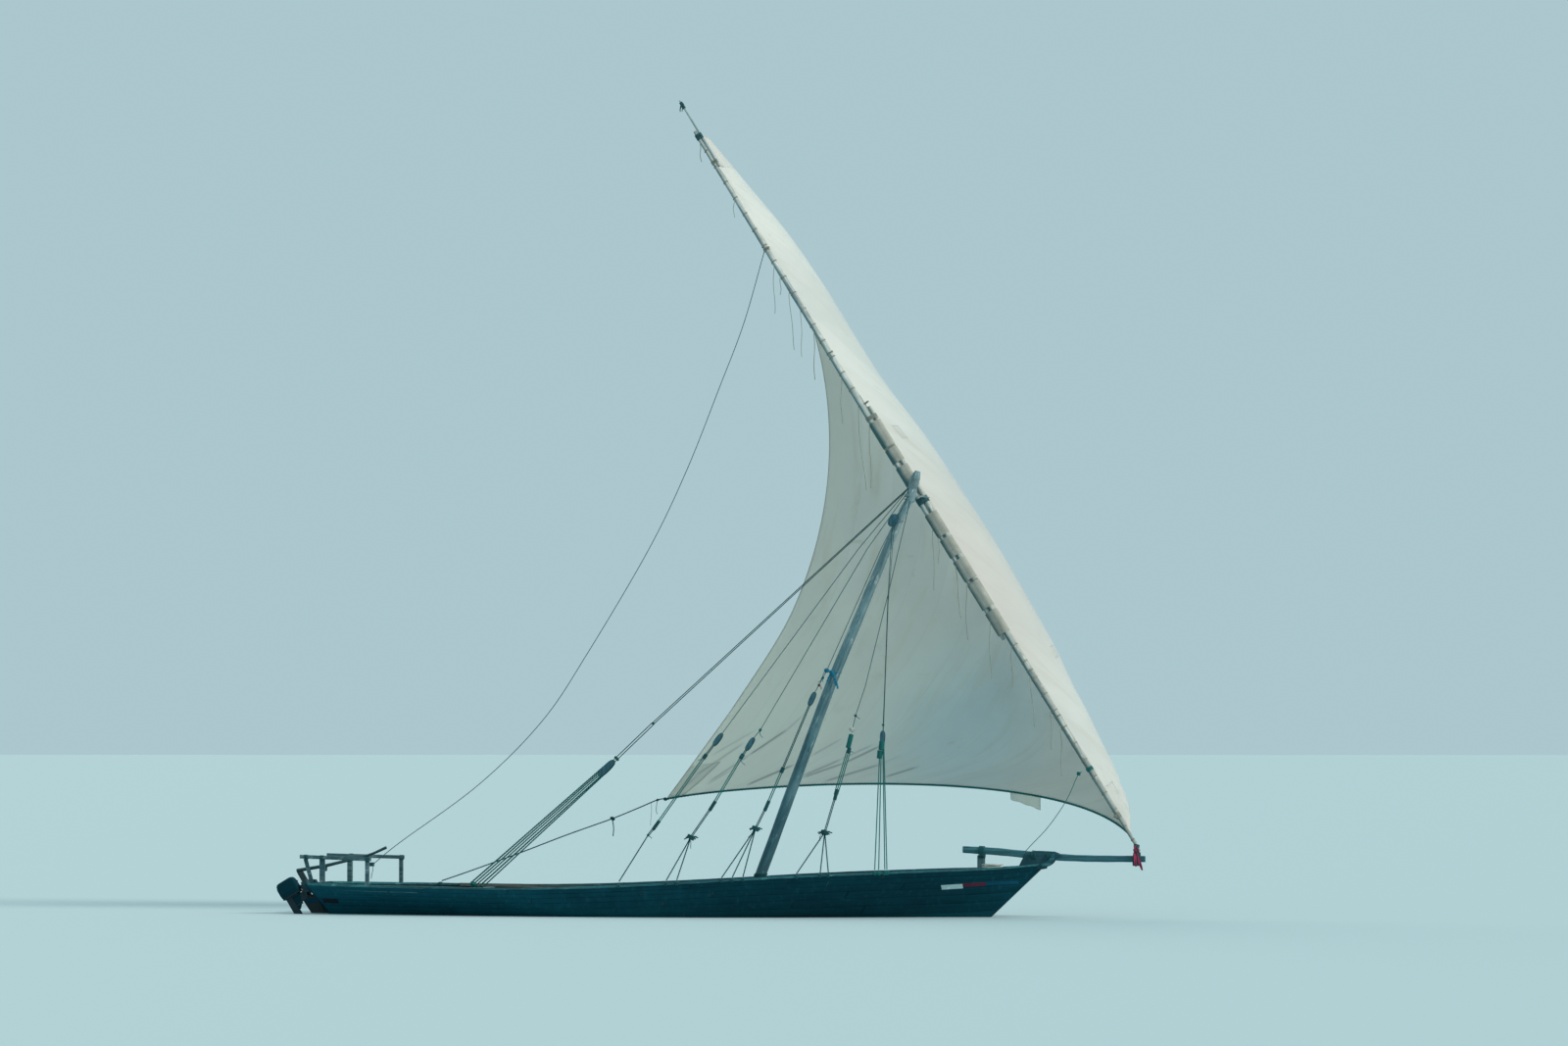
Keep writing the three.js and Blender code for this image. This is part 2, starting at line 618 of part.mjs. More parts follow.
function addSail() {
  const middle = SAIL_ROW_SHARES.map((share) => Array.from(
    { length: SAIL_COLUMNS + 1 },
    (_, i) => sailPoint(share, i / SAIL_COLUMNS),
  ));
  const shifted = (distance) => middle.map((row, i) => row.map((point, j) => {
    const along = row[Math.min(j + 1, SAIL_COLUMNS)].clone().sub(row[Math.max(j - 1, 0)]);
    const above = middle[Math.min(i + 1, middle.length - 1)][j];
    const below = middle[Math.max(i - 1, 0)][j];
    const normal = along.cross(above.clone().sub(below)).normalize();
    return point.clone().addScaledVector(normal, distance);
  }));
  const cloth = solidOf(slab(shifted(SAIL_THICK / 2), shifted(-SAIL_THICK / 2)));

  const boltRope = solidOf(roundBar([sailPoint(0, 0), sailPoint(1, 0)], [BOLT_ROPE_R, BOLT_ROPE_R], 6));

  // Rings of cord that carry the sail's edge on the lower spar and turn on it
  const { heights, cord_r, thick, half_wide, sides } = ROBANDS;
  const robands = heights.map((z) => {
    const spar = (along) => yardPoint(z, YARD_OVERLAP).addScaledVector(yardAlong, along);
    const core = (sparRadius(SPARS.yard_lower, z) + 2 * GAP) / Math.cos(Math.PI / sides);
    const share = THREE.MathUtils.inverseLerp(SAIL_FOOT_Z, SAIL_HEAD_Z, z);
    const luff = sailPoint(share, 0);
    luff.addScaledVector(yardAlong, spar(0).sub(luff).dot(yardAlong));
    return solidOf(roundBar([spar(-half_wide), spar(half_wide)], [core + thick, core + thick], sides))
      .add(solidOf(roundBar([spar(0), luff], [cord_r, cord_r], 6)))
      .subtract(solidOf(roundBar([spar(-3 * half_wide), spar(3 * half_wide)], [core, core], sides)));
  });
  add('sail', 'canvas', geometryOf(joined([cloth, boltRope, ...robands])));
}

// Bowsprit and the bitt that holds its heel

const BOWSPRIT = { heel: [7750, 0, 1742], end: [12560, 0, 1474], heel_r: 95, end_r: 66 };

function bowspritShape(spare = 0) {
  const shares = [0, 0.45, 0.75, 1];
  return bar(
    shares.map((share) => vec(BOWSPRIT.heel).lerp(vec(BOWSPRIT.end), share)),
    shares.map((share) => THREE.MathUtils.lerp(BOWSPRIT.heel_r, BOWSPRIT.end_r, share) + spare),
    HEWN,
  );
}

function addBowsprit() {
  const heel = vec(BOWSPRIT.heel);
  const end = vec(BOWSPRIT.end);
  add('bowsprit', 'grey_wood', bowspritShape());
  const bittX = 8230;
  const underside = THREE.MathUtils.mapLinear(bittX, heel.x, end.x, heel.z, end.z) - BOWSPRIT.heel_r;
  const bitt = box([bittX - 90, -90, sheerAt(bittX) - 200], [bittX + 90, 90, underside - 5]);
  add('bow_bitt', 'grey_wood', geometryOf(
    solidOf(bitt).subtract(deckSpace(FOREDECK_RUN, DECKS.fore, GAP, 600)),
  ));
}

// Stern rails over each quarter

const STERN_RAIL = { aft: { x: -9960, z: 1530 }, fore: { x: -7900, z: 1470 }, half: 48 };
// The starboard rail has all three posts, and the port rail only the two upright ones.
const STERN_POSTS = [
  { x: -9640, lean: 180, half: 44 },
  { x: -9330, lean: 0, half: 62 },
  { x: -7990, lean: 0, half: 48 },
];

const railMiddle = (x) => halfBeamAt(x) + (RAIL.outside - RAIL.inside) / 2;
const sternRailY = (side, x) => side * railMiddle(x);

function addSternRails() {
  const { aft, fore, half } = STERN_RAIL;
  const aftY = railMiddle(STERN_POSTS[0].x);
  const foreY = railMiddle(STERN_POSTS[2].x);
  for (const [name, side] of [['stern_rail_port', 1], ['stern_rail_starboard', -1]]) {
    const ends = [vec([aft.x, side * aftY, aft.z]), vec([fore.x, side * foreY, fore.z])];
    const beam = bar(ends, [half, half], SQUARE);
    const posts = STERN_POSTS.filter(({ lean }) => side < 0 || lean === 0).map((post) => {
      const share = (post.x - STERN_POSTS[0].x) / (STERN_POSTS[2].x - STERN_POSTS[0].x);
      const lowCorner = (post.half * post.lean) / (fore.z - railTopAt(post.x));
      const foot = Math.max(railTopAt(post.x - post.half), railTopAt(post.x + post.half)) + lowCorner + GAP;
      return solidOf(bar([
        new THREE.Vector3(post.x, side * railMiddle(post.x), foot),
        new THREE.Vector3(post.x - post.lean, side * THREE.MathUtils.lerp(aftY, foreY, share), fore.z),
      ], [post.half, post.half], SQUARE));
    });
    add(name, 'grey_wood', geometryOf(joined([solidOf(beam), ...posts])));
  }
}

// Rudder, hung aft of the sternpost, and its tiller

const AXIS_BEHIND_POST = 75;
const rudderAxisX = (z) => postBackX(z) - AXIS_BEHIND_POST;
const TILLER = [[-10430, 1130], [-9620, 1265], [-9045, 1400], [-8578, 1500], [-8270, 1610], [-7936, 1760]];
const TILLER_RADII = [48, 46, 40, 36, 34, 40];
const GUDGEONS = [['rudder_gudgeon_lower', -520], ['rudder_gudgeon_upper', 640]];

// Moves a solid built upright about the origin on to the rudder's axis at this distance up it from the water
function ontoRudderAxis(geometry, up) {
  const centre = new THREE.Vector3(rudderAxisX(0), 0, 0).addScaledVector(UP_THE_RAKE, up);
  geometry.rotateY(RAKE_ANGLE);
  geometry.translate(centre.x, centre.y, centre.z);
  return geometry;
}

function uprightCylinder(radius, height, sides = 16) {
  const geometry = new THREE.CylinderGeometry(radius, radius, height, sides);
  geometry.rotateX(Math.PI / 2);
  return geometry;
}

function addRudder() {
  const leading = 35;
  const headZ = 1100;
  const [tillerEnd, tillerNext] = TILLER;
  const tillerSlope = (tillerNext[1] - tillerEnd[1]) / (tillerNext[0] - tillerEnd[0]);
  const underTiller = (x) => tillerEnd[1] + (x - tillerEnd[0]) * tillerSlope
    - TILLER_RADII[0] * Math.hypot(1, tillerSlope) - GAP;
  const head = [-120, leading].map((ahead) => rudderAxisX(headZ) + ahead).map((x) => [x, underTiller(x)]);
  let rudder = solidOf(timber([
    [rudderAxisX(-1290) + leading, -1290],
    [rudderAxisX(-1290) - 820, -1290],
    [rudderAxisX(-900) - 860, -900],
    [rudderAxisX(-250) - 520, -250],
    [rudderAxisX(0) - 372, 0],
    [rudderAxisX(475) - 420, 475],
    [rudderAxisX(700) - 140, 700],
    ...head,
  ], 90));
  for (const [name, up] of GUDGEONS) {
    const notch = ontoRudderAxis(box([-70, -60, -35], [70, 60, 30 + GAP]), up);
    const pin = ontoRudderAxis(uprightCylinder(14, 90), up);
    rudder = rudder.subtract(solidOf(notch)).add(solidOf(pin));
    const toPost = AXIS_BEHIND_POST * Math.cos(RAKE_ANGLE) - GAP;
    const ring = solidOf(ontoRudderAxis(uprightCylinder(40, 60), up));
    const arm = solidOf(ontoRudderAxis(box([0, -40, -30], [toPost, 40, 30]), up));
    const plate = solidOf(ontoRudderAxis(box([toPost - 12, -SIDING, -30], [toPost, SIDING, 30]), up));
    const outside = SIDING + 10;
    const strap = (side) => {
      const [low, high] = side > 0 ? [SIDING + GAP, outside] : [-outside, -SIDING - GAP];
      return solidOf(ontoRudderAxis(box([toPost - 12, low, -30], [toPost + 150, high, 30]), up));
    };
    const wide = solidOf(ontoRudderAxis(box([toPost - 12, -outside, -30], [toPost - 2, outside, 30]), up));
    const hole = solidOf(ontoRudderAxis(uprightCylinder(16, 80), up));
    add(name, 'iron', geometryOf(joined([ring, arm, plate, wide, strap(1), strap(-1)]).subtract(hole)));
  }
  add('rudder', 'brown_wood', geometryOf(rudder));

  const points = TILLER.map(([x, z]) => new THREE.Vector3(x, 0, z));
  add('tiller', 'grey_wood', roundBar(points, TILLER_RADII));
}

// Outboard motor on a pad at the transom's starboard side

const MOTOR = { x: -10120, y: -780, z: 500, pin_back: -60 };

// Local axes: x is forward and square to the rake, z is up the rake
function addMotor() {
  const motor = new THREE.Group();
  motor.position.set(MOTOR.x, MOTOR.y, MOTOR.z);
  motor.rotation.y = RAKE_ANGLE;
  boat.add(motor);

  const transomFace = (transomX(MOTOR.z) - TRANSOM_THICK - MOTOR.x) * Math.cos(RAKE_ANGLE) - GAP;
  const padFace = 225;
  add('motor_pad', 'grey_wood', box([padFace, -130, -60], [transomFace, 130, 250]), motor);

  const pinX = MOTOR.pin_back;
  const moved = (geometry, x, y, z) => geometry.translate(x, y, z);
  const sleeve = solidOf(moved(uprightCylinder(38, 230), pinX, 0, -85));
  const arm = solidOf(box([pinX, -30, -195], [padFace - 30, 30, 25]));
  const clamp = solidOf(box([padFace - 60, -100, -150], [padFace - GAP, 100, 200]));
  const bore = solidOf(moved(uprightCylinder(20, 400), pinX, 0, -85));
  add('motor_bracket', 'motor_metal', geometryOf(joined([sleeve, arm, clamp]).subtract(bore)), motor);

  const tray = solidOf(box([-420, -140, 70], [100, 140, 98]));
  const pin = solidOf(moved(uprightCylinder(18, 300), pinX, 0, -70));
  const topYoke = solidOf(box([-330, -45, 30 + GAP], [pinX + 35, 45, 75]));
  const lowYoke = solidOf(box([-330, -45, -240], [pinX + 35, 45, -200 - GAP]));
  const column = solidOf(box([-370, -55, -700], [-190, 55, 75]));
  const plate = solidOf(box([-520, -90, -720], [-150, 90, -700]));
  const lower = solidOf(box([-360, -35, -960], [-170, 35, -710]));
  const torpedo = solidOf(uprightCylinder(48, 300).rotateY(Math.PI / 2).translate(-250, 0, -930));
  const skeg = solidOf(box([-330, -8, -1120], [-180, 8, -930]));
  add('motor_leg', 'motor_metal', geometryOf(
    joined([tray, pin, topYoke, lowYoke, column, plate, lower, torpedo, skeg]),
  ), motor);

  const cowlRing = (z, back, front, half, cut) => [
    [front - cut, half], [back + cut, half], [back, half - cut], [back, cut - half],
    [back + cut, -half], [front - cut, -half], [front, cut - half], [front, half - cut],
  ].map(([x, y]) => new THREE.Vector3(x, y, z));
  add('motor_cowl', 'motor_plastic', loft([
    cowlRing(98 + GAP, -430, 105, 150, 50),
    cowlRing(180, -455, 125, 165, 60),
    cowlRing(440, -440, 110, 160, 60),
    cowlRing(540, -370, 50, 125, 70),
  ]), motor);

  const hub = solidOf(uprightCylinder(34, 90).rotateY(Math.PI / 2));
  const blades = [0, 1, 2].map((i) => solidOf(
    box([-10, -38, 20], [10, 38, 138]).rotateZ(0.6).rotateX((i * 2 * Math.PI) / 3),
  ));
  add('motor_propeller', 'motor_metal', geometryOf(joined([hub, ...blades])), motor)
    .position.set(-400 - 45 - GAP, 0, -930);
}

// The vang from the peak sags down to the fore post of the starboard stern rail
const VANG = {
  radius: 11,
  foot_z: 1330,
  top_z: 17700,
  bends: [
    [-7090, -1620, 1930], [-4960, -1420, 3460], [-3280, -1205, 5140], [-2140, -970, 6960],
    [-630, -620, 9680], [370, -360, 11760], [1240, -70, 13980], [1910, 140, 15680],
  ],
};

function rope(name, points, radii) {
  add(name, 'rope', roundBar(points, radii, 8));
}

function addRigging() {
  const blockTop = 10520;
  const blockBottom = 10240;
  const beside = mastAxis((blockTop + blockBottom) / 2).add(vec([-225, -145, 0]));
  const strop = roundBar([mastAxis(10340), mastAxis(10420)], [150, 150], MAST_SIDES);
  const pendant = roundBar([mastAxis(10380), beside], [28, 28], 8);
  const block = box(
    [beside.x - 70, beside.y - 45, blockBottom],
    [beside.x + 70, beside.y + 45, blockTop],
  );
  add('halyard_block', 'brown_wood', geometryOf(
    joined([solidOf(strop), solidOf(pendant), solidOf(block)]).subtract(solidOf(mastShape(GAP))),
  ));
  rope('halyard_tackle', [vec([6000, -1745, 1255]), beside.clone().setZ(blockBottom - 3)], [30, 18]);

  const backstayFoot = vec([HOLD.aft_beam, 0, sheerAt(HOLD.aft_beam) - BEAM.below_sheer + 28]);
  rope('backstay', [backstayFoot, mastAxis(11200).add(vec([-160, 0, 0]))], [28, 20]);
  const postHalf = STERN_POSTS[2].half + GAP;
  const vangFoot = new THREE.Vector3(STERN_POSTS[2].x, sternRailY(-1, STERN_POSTS[2].x), VANG.foot_z);
  const vangPath = [vangFoot, ...VANG.bends.map(vec), yardPoint(VANG.top_z, -YARD_OVERLAP)];
  const post = box(
    [vangFoot.x - postHalf, vangFoot.y - postHalf, vangFoot.z - 200],
    [vangFoot.x + postHalf, vangFoot.y + postHalf, vangFoot.z + 100],
  );
  add('peak_vang', 'rope', geometryOf(
    solidOf(roundBar(vangPath, vangPath.map(() => VANG.radius), 8))
      .subtract(solidOf(sparShape(SPARS.yard_upper, GAP)))
      .subtract(solidOf(post)),
  ));
}

addBackbone();
addSkin();
addInside();
addMast();
addShrouds();
addYard();
addSail();
addBowsprit();
addSternRails();
addRudder();
addMotor();
addRigging();

export default boat;
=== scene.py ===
import bisect
import math
import random

import bpy
import numpy as np
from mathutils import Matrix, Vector


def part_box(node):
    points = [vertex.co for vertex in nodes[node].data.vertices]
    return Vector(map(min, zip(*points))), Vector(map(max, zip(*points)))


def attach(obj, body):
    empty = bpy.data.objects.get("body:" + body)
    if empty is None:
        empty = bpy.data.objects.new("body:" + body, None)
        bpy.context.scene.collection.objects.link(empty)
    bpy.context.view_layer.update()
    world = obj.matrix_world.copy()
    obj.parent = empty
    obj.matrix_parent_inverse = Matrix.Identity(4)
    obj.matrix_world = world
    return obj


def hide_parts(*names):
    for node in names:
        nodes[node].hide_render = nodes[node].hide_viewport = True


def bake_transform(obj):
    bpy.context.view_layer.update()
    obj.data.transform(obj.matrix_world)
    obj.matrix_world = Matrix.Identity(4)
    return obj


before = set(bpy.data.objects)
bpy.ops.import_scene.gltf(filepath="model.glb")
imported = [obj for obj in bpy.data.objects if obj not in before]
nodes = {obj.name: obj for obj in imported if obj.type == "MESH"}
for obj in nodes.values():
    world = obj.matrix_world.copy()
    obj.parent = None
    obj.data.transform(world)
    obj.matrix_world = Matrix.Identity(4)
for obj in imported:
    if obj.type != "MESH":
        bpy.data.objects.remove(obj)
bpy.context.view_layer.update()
rng = random.Random(11)


def arr(*values):
    return np.array(values, float)


def unit(vector):
    vector = np.asarray(vector, float)
    return vector / np.linalg.norm(vector)


def round_turn(count):
    """Angles spread evenly round a circle."""
    return np.linspace(0, 2 * math.pi, count, endpoint=False)


def lengths_along(points):
    """How far along the line each of its points lies."""
    return np.concatenate([[0], np.cumsum(np.linalg.norm(np.diff(points, axis=0), axis=1))])


def dimmed(colour, share):
    return tuple(c * share for c in colour)


def add_object(name, data):
    made = bpy.data.objects.new(name, data)
    bpy.context.scene.collection.objects.link(made)
    return made


# Camera and studio

CAMERA_PLACE = (34.010, -146.122, 4.342)
CAMERA_PITCH = math.radians(2.3078)
CAMERA_TURN = math.radians(12.0)
CAMERA_LENS = 129.807
FILM_WIDTH, FARTHEST_SEEN = 36, 12000
SKY_COLOUR, SKY_STRENGTH = (0.43, 0.60, 0.645, 1), 0.955
FLOOR_COLOUR = (0.43, 0.56, 0.59, 1)
FLOOR_HALF, FLOOR_NEAR = 6000, 3.0
# name, direction toward it, strength, colour, width in degrees
LAMPS = (
    ("key", (0.93, -0.22, 0.62), 2.28, (1.0, 0.945, 0.87), 16),
    ("fill", (-0.75, 0.85, 0.60), 0.88, (1.0, 0.97, 0.88), 40),
)


def make_studio():
    camera = add_object("camera", bpy.data.cameras.new("camera"))
    camera.location = CAMERA_PLACE
    camera.rotation_euler = (math.pi / 2 + CAMERA_PITCH, 0, CAMERA_TURN)
    camera.data.lens = CAMERA_LENS
    camera.data.sensor_width = FILM_WIDTH
    camera.data.clip_end = FARTHEST_SEEN
    bpy.context.scene.camera = camera
    bpy.context.scene.view_settings.view_transform = "Standard"

    world = bpy.data.worlds.new("sky")
    bpy.context.scene.world = world
    world.use_nodes = True
    backdrop = world.node_tree.nodes["Background"]
    backdrop.inputs["Color"].default_value = SKY_COLOUR
    backdrop.inputs["Strength"].default_value = SKY_STRENGTH

    for name, toward, strength, colour, soft in LAMPS:
        lamp = bpy.data.lights.new(name, "SUN")
        lamp.energy = strength
        lamp.color = colour
        lamp.angle = math.radians(soft)
        add_object(name, lamp).rotation_euler = Vector(toward).to_track_quat("Z", "Y").to_euler()

    # The floor lies at the waterline and is open inside the hull
    along = np.linspace(transom_x(0) + 0.02, stem_x(0) - 0.10, 60)
    aft, fore = along[0], along[-1]
    half, near = FLOOR_HALF, FLOOR_NEAR
    quads = []
    for x0, x1 in zip(along, along[1:]):
        y0, y1 = (inside_half(x, 0, 0.02) - 0.01 for x in (x0, x1))
        quads.append(((x0, y0), (x1, y1), (x1, near), (x0, near)))
        quads.append(((x0, -near), (x1, -near), (x1, -y1), (x0, -y0)))
    for x0, x1, y0, y1 in ((-half, aft, -half, half), (fore, half, -half, half),
                           (aft, fore, near, half), (aft, fore, -half, -near)):
        quads.append(((x0, y0), (x1, y0), (x1, y1), (x0, y1)))
    mesh = bpy.data.meshes.new("floor")
    mesh.from_pydata([(x, y, 0) for quad in quads for x, y in quad], [],
                     [tuple(range(k * 4, k * 4 + 4)) for k in range(len(quads))])
    look = Look("floor_pale")
    look.base(FLOOR_COLOUR)
    look.set("Roughness", 0.9)
    mesh.materials.append(look.material)
    add_object("floor", mesh)


# Materials

WOOD_ROUGH = 0.85


class Look:
    """A Principled material whose colour, roughness and bump come from procedural nodes.

    tones is a direction, two places along it, and the tint at each.
    """

    def __init__(self, name, tones=None):
        self.material = bpy.data.materials.new(name)
        self.material.use_nodes = True
        self.tree = self.material.node_tree
        self.shader = self.tree.nodes["Principled BSDF"]
        self.place = self.node("ShaderNodeTexCoord").outputs["Object"]
        self.tones = tones
        self.level = self.level_of(tones) if tones else None

    def node(self, kind, links=None, **settings):
        made = self.tree.nodes.new(kind)
        for key, value in settings.items():
            setattr(made, key, value)
        for key, value in (links or {}).items():
            self.link(value, made.inputs[key])
        return made

    def link(self, value, socket):
        if isinstance(value, bpy.types.NodeSocket):
            self.tree.links.new(value, socket)
        else:
            socket.default_value = value

    def set(self, socket, value):
        self.link(value, self.shader.inputs[socket])

    def base(self, value):
        if self.tones:
            first, last, first_tint, last_tint = self.tones[1:]
            tint = self.mix(self.between(self.level, first, last), first_tint, last_tint)
            value = self.mix(1.0, value, tint, "MULTIPLY")
        self.set("Base Color", value)

    def turned(self, along):
        """Turns the texture's place so that its X runs along the grain."""
        turn = Vector(along).rotation_difference(Vector((1, 0, 0))).to_euler()
        links = {"Vector": self.place, "Rotation": tuple(turn)}
        self.place = self.node("ShaderNodeMapping", links).outputs[0]

    def scaled(self, scale, shift=(0, 0, 0)):
        links = {"Vector": self.place, "Scale": scale, "Location": shift}
        return self.node("ShaderNodeMapping", links).outputs[0]

    def noise(self, scale=(1, 1, 1), detail=4.0, rough=0.6, twist=0.0, shift=(0, 0, 0)):
        return self.node("ShaderNodeTexNoise", {
            "Vector": self.scaled(scale, shift), "Scale": 1.0, "Detail": detail,
            "Roughness": rough, "Distortion": twist,
        }).outputs[0]

    def spots(self, scale):
        links = {"Vector": self.scaled(scale), "Scale": 1.0}
        return self.node("ShaderNodeTexVoronoi", links, feature="F1").outputs["Distance"]

    def ramp(self, value, stops):
        made = self.node("ShaderNodeValToRGB", {"Fac": value})
        bar = made.color_ramp
        while len(bar.elements) < len(stops):
            bar.elements.new(0.5)
        for element, (at, colour) in zip(bar.elements, stops):
            element.position = at
            element.color = (*colour, 1) if hasattr(colour, "__len__") else (colour, colour, colour, 1)
        return made.outputs["Color"]

    def between(self, value, low, high, to_low=0.0, to_high=1.0):
        return self.node("ShaderNodeMapRange", {
            "Value": value, "From Min": low, "From Max": high, "To Min": to_low, "To Max": to_high,
        }).outputs[0]

    def mix(self, share, first, second, kind="MIX"):
        made = self.node("ShaderNodeMix", data_type="RGBA", blend_type=kind)
        self.link(share, made.inputs[0])
        for value, socket in ((first, made.inputs[6]), (second, made.inputs[7])):
            self.link((*value, 1) if isinstance(value, tuple) and len(value) == 3 else value, socket)
        return made.outputs[2]

    def maths(self, kind, first, second=None):
        made = self.node("ShaderNodeMath", operation=kind)
        self.link(first, made.inputs[0])
        if second is not None:
            self.link(second, made.inputs[1])
        return made.outputs[0]

    def sum(self, first, second):
        return self.maths("ADD", first, second)

    def less(self, first, second):
        return self.maths("SUBTRACT", first, second)

    def times(self, first, second):
        return self.maths("MULTIPLY", first, second)

    def over(self, where, share, colour, tint):
        """Lays this share of a tint over a colour, where the first value is high."""
        return self.mix(self.times(where, share), colour, tint)

    def measure(self, kind, first, second=None):
        """A length, a distance or a dot product of places."""
        links = {0: first} if second is None else {0: first, 1: tuple(second)}
        return self.node("ShaderNodeVectorMath", links, operation=kind).outputs["Value"]

    def level_of(self, tones):
        """How far along the tones' direction a place is, with an uneven edge."""
        direction, first, last = tones[:3]
        dot = self.measure("DOT_PRODUCT", self.place, direction)
        wobble = self.less(self.noise((1.7, 1.7, 1.7), detail=6, rough=0.7), 0.5)
        return self.sum(dot, self.times(wobble, abs(last - first) * 1.2))

    def axis(self, name):
        return self.node("ShaderNodeSeparateXYZ", {0: self.place}).outputs[name]

    def bump(self, height, distance):
        links = {"Height": height, "Distance": distance, "Strength": 1.0}
        self.set("Normal", self.node("ShaderNodeBump", links).outputs[0])


def wood(name, dark, middle, light, along=(1, 0, 0), blotch=0.45, relief=0.004, wear=None, tones=None):
    """Weathered timber with long grain, open cracks, knots and stains."""
    look = Look(name, tones)
    look.turned(along)
    grain = look.noise((0.7, 16, 16), detail=7, rough=0.68, twist=0.5)
    colour = look.ramp(grain, ((0.30, dark), (0.50, middle), (0.70, light)))
    fibre = look.noise((3.0, 130, 130), detail=3, rough=0.7)
    colour = look.mix(0.35, colour, look.ramp(fibre, ((0.3, 0.35), (0.7, 1.0))), "MULTIPLY")
    splits = look.noise((0.9, 34, 34), detail=2, rough=0.5, twist=0.25, shift=(5, 2, 1))
    cracks = look.ramp(splits, ((0.485, 1.0), (0.5, 0.0), (0.515, 1.0)))
    colour = look.over(look.between(cracks, 0, 1, 1, 0), 0.6, colour, dark)
    knots = look.between(look.spots((1.1, 5, 5)), 0.05, 0.16, 1, 0)
    colour = look.over(knots, 0.7, colour, dimmed(dark, 0.45))
    stain = look.between(look.noise((1.3, 1.3, 1.3), detail=5, rough=0.62, shift=(3, 7, 2)), 0.42, 0.66)
    colour = look.over(stain, blotch, colour, dimmed(middle, 0.55))
    if wear:
        pale = look.between(look.noise((2.2, 9, 9), detail=6, rough=0.7, shift=(1, 4, 8)), 0.56, 0.66)
        colour = look.over(pale, 0.75, colour, wear)
    look.base(colour)
    look.set("Roughness", look.between(grain, 0.3, 0.7, WOOD_ROUGH - 0.08, WOOD_ROUGH + 0.08))
    look.bump(look.sum(look.sum(grain, look.times(fibre, 0.4)), look.times(cracks, 0.8)), relief)
    return look.material


def painted_planks(name, paint, worn, wood_colour, foul=False, tones=None):
    """Thin old paint on planks: streaks, rubbed patches, salt near the water."""
    look = Look(name, tones)
    broad = look.noise((0.8, 1.5, 2.2), detail=6, rough=0.65)
    colour = look.mix(look.between(broad, 0.35, 0.7), paint, worn)
    streak = look.noise((9, 9, 0.8), detail=4, rough=0.6, shift=(2, 0, 4))
    colour = look.over(look.between(streak, 0.55, 0.75), 0.35, colour, tuple(c * 1.9 + 0.012 for c in worn))
    rub = look.between(look.noise((3.0, 12, 12), detail=7, rough=0.75, shift=(8, 1, 3)), 0.66, 0.72)
    colour = look.over(rub, 0.6, colour, wood_colour)
    up = look.axis("Z")
    wobble = look.times(look.noise((1.5, 1.5, 0.3), detail=5), 0.28)
    salt = look.between(look.less(up, wobble), 0.12, -0.08)
    colour = look.over(salt, 0.5, colour, (0.004, 0.068, 0.082))
    if foul:
        deep = look.between(up, -0.10, -0.28)
        weed = look.mix(look.noise((4, 4, 4), detail=6), (0.020, 0.060, 0.050), (0.07, 0.12, 0.10))
        colour = look.over(deep, 0.85, colour, weed)
        # The planks' inner faces are bare wood
        normal = look.node("ShaderNodeNewGeometry").outputs["Normal"]
        sideways = look.node("ShaderNodeSeparateXYZ", {0: normal}).outputs["Y"]
        painted = look.between(look.times(sideways, look.axis("Y")), -0.07, -0.02)
        grain = look.noise((1.2, 14, 14), detail=6, rough=0.7)
        colour = look.mix(painted, look.mix(grain, (0.022, 0.036, 0.036), (0.08, 0.10, 0.092)), colour)
    look.base(colour)
    fine = look.noise((6, 50, 50), detail=5, rough=0.7)
    look.set("Specular IOR Level", 0.08)
    look.set("Roughness", look.between(fine, 0.3, 0.7, 0.45, 0.7))
    look.bump(look.sum(fine, look.times(broad, 0.8)), 0.003)
    return look.material


def rope_look(name, colour, pale, dark, tones=None):
    look = Look(name, tones)
    broad = look.noise((2.5, 2.5, 2.5), detail=5, rough=0.65)
    mixed = look.mix(look.between(broad, 0.3, 0.7), colour, pale)
    fibre = look.noise((160, 160, 160), detail=3, rough=0.7)
    look.base(look.over(look.between(fibre, 0.35, 0.6, 1, 0), 0.6, mixed, dark))
    look.set("Roughness", 0.95)
    look.bump(fibre, 0.0015)
    return look.material


def metal_look(name, colour, rust, metallic, rough, rust_share):
    look = Look(name)
    broad = look.noise((7, 7, 7), detail=7, rough=0.7)
    eaten = look.between(broad, 0.62 - 0.3 * rust_share, 0.72 - 0.3 * rust_share)
    fine = look.noise((90, 90, 90), detail=4, rough=0.7)
    tinted = look.mix(look.between(fine, 0.3, 0.7), rust, dimmed(rust, 0.55))
    look.base(look.mix(eaten, colour, tinted))
    look.set("Metallic", look.between(eaten, 0, 1, metallic, metallic * 0.3))
    look.set("Roughness", look.between(eaten, 0, 1, rough, 0.92))
    look.bump(look.sum(fine, broad), 0.001)
    return look.material


def painted_fold_shade(look, rest):
    """Painted shade: thin dark lines along the folds that run out of the clew, in the cloth at rest."""
    def along(direction, start):
        first = sum(a * b for a, b in zip(direction, start))
        return look.less(look.measure("DOT_PRODUCT", rest, direction), first)

    fold_shade = None
    for x, z, far_x, far_z, strength in CLEW_FOLDS:
        length = math.hypot(far_x - x, far_z - z)
        run = along(((far_x - x) / length, 0, (far_z - z) / length), (x, 0, z))
        off = look.maths("ABSOLUTE", along(((z - far_z) / length, 0, (far_x - x) / length), (x, 0, z)))
        here = look.times(look.between(run, -0.08, 0.12), look.between(run, length + 0.1, length - 0.15))
        here = look.times(look.between(off, 0.042, 0.010, 0.0, strength), here)
        fold_shade = here if fold_shade is None else look.maths("MAXIMUM", fold_shade, here)
    return fold_shade


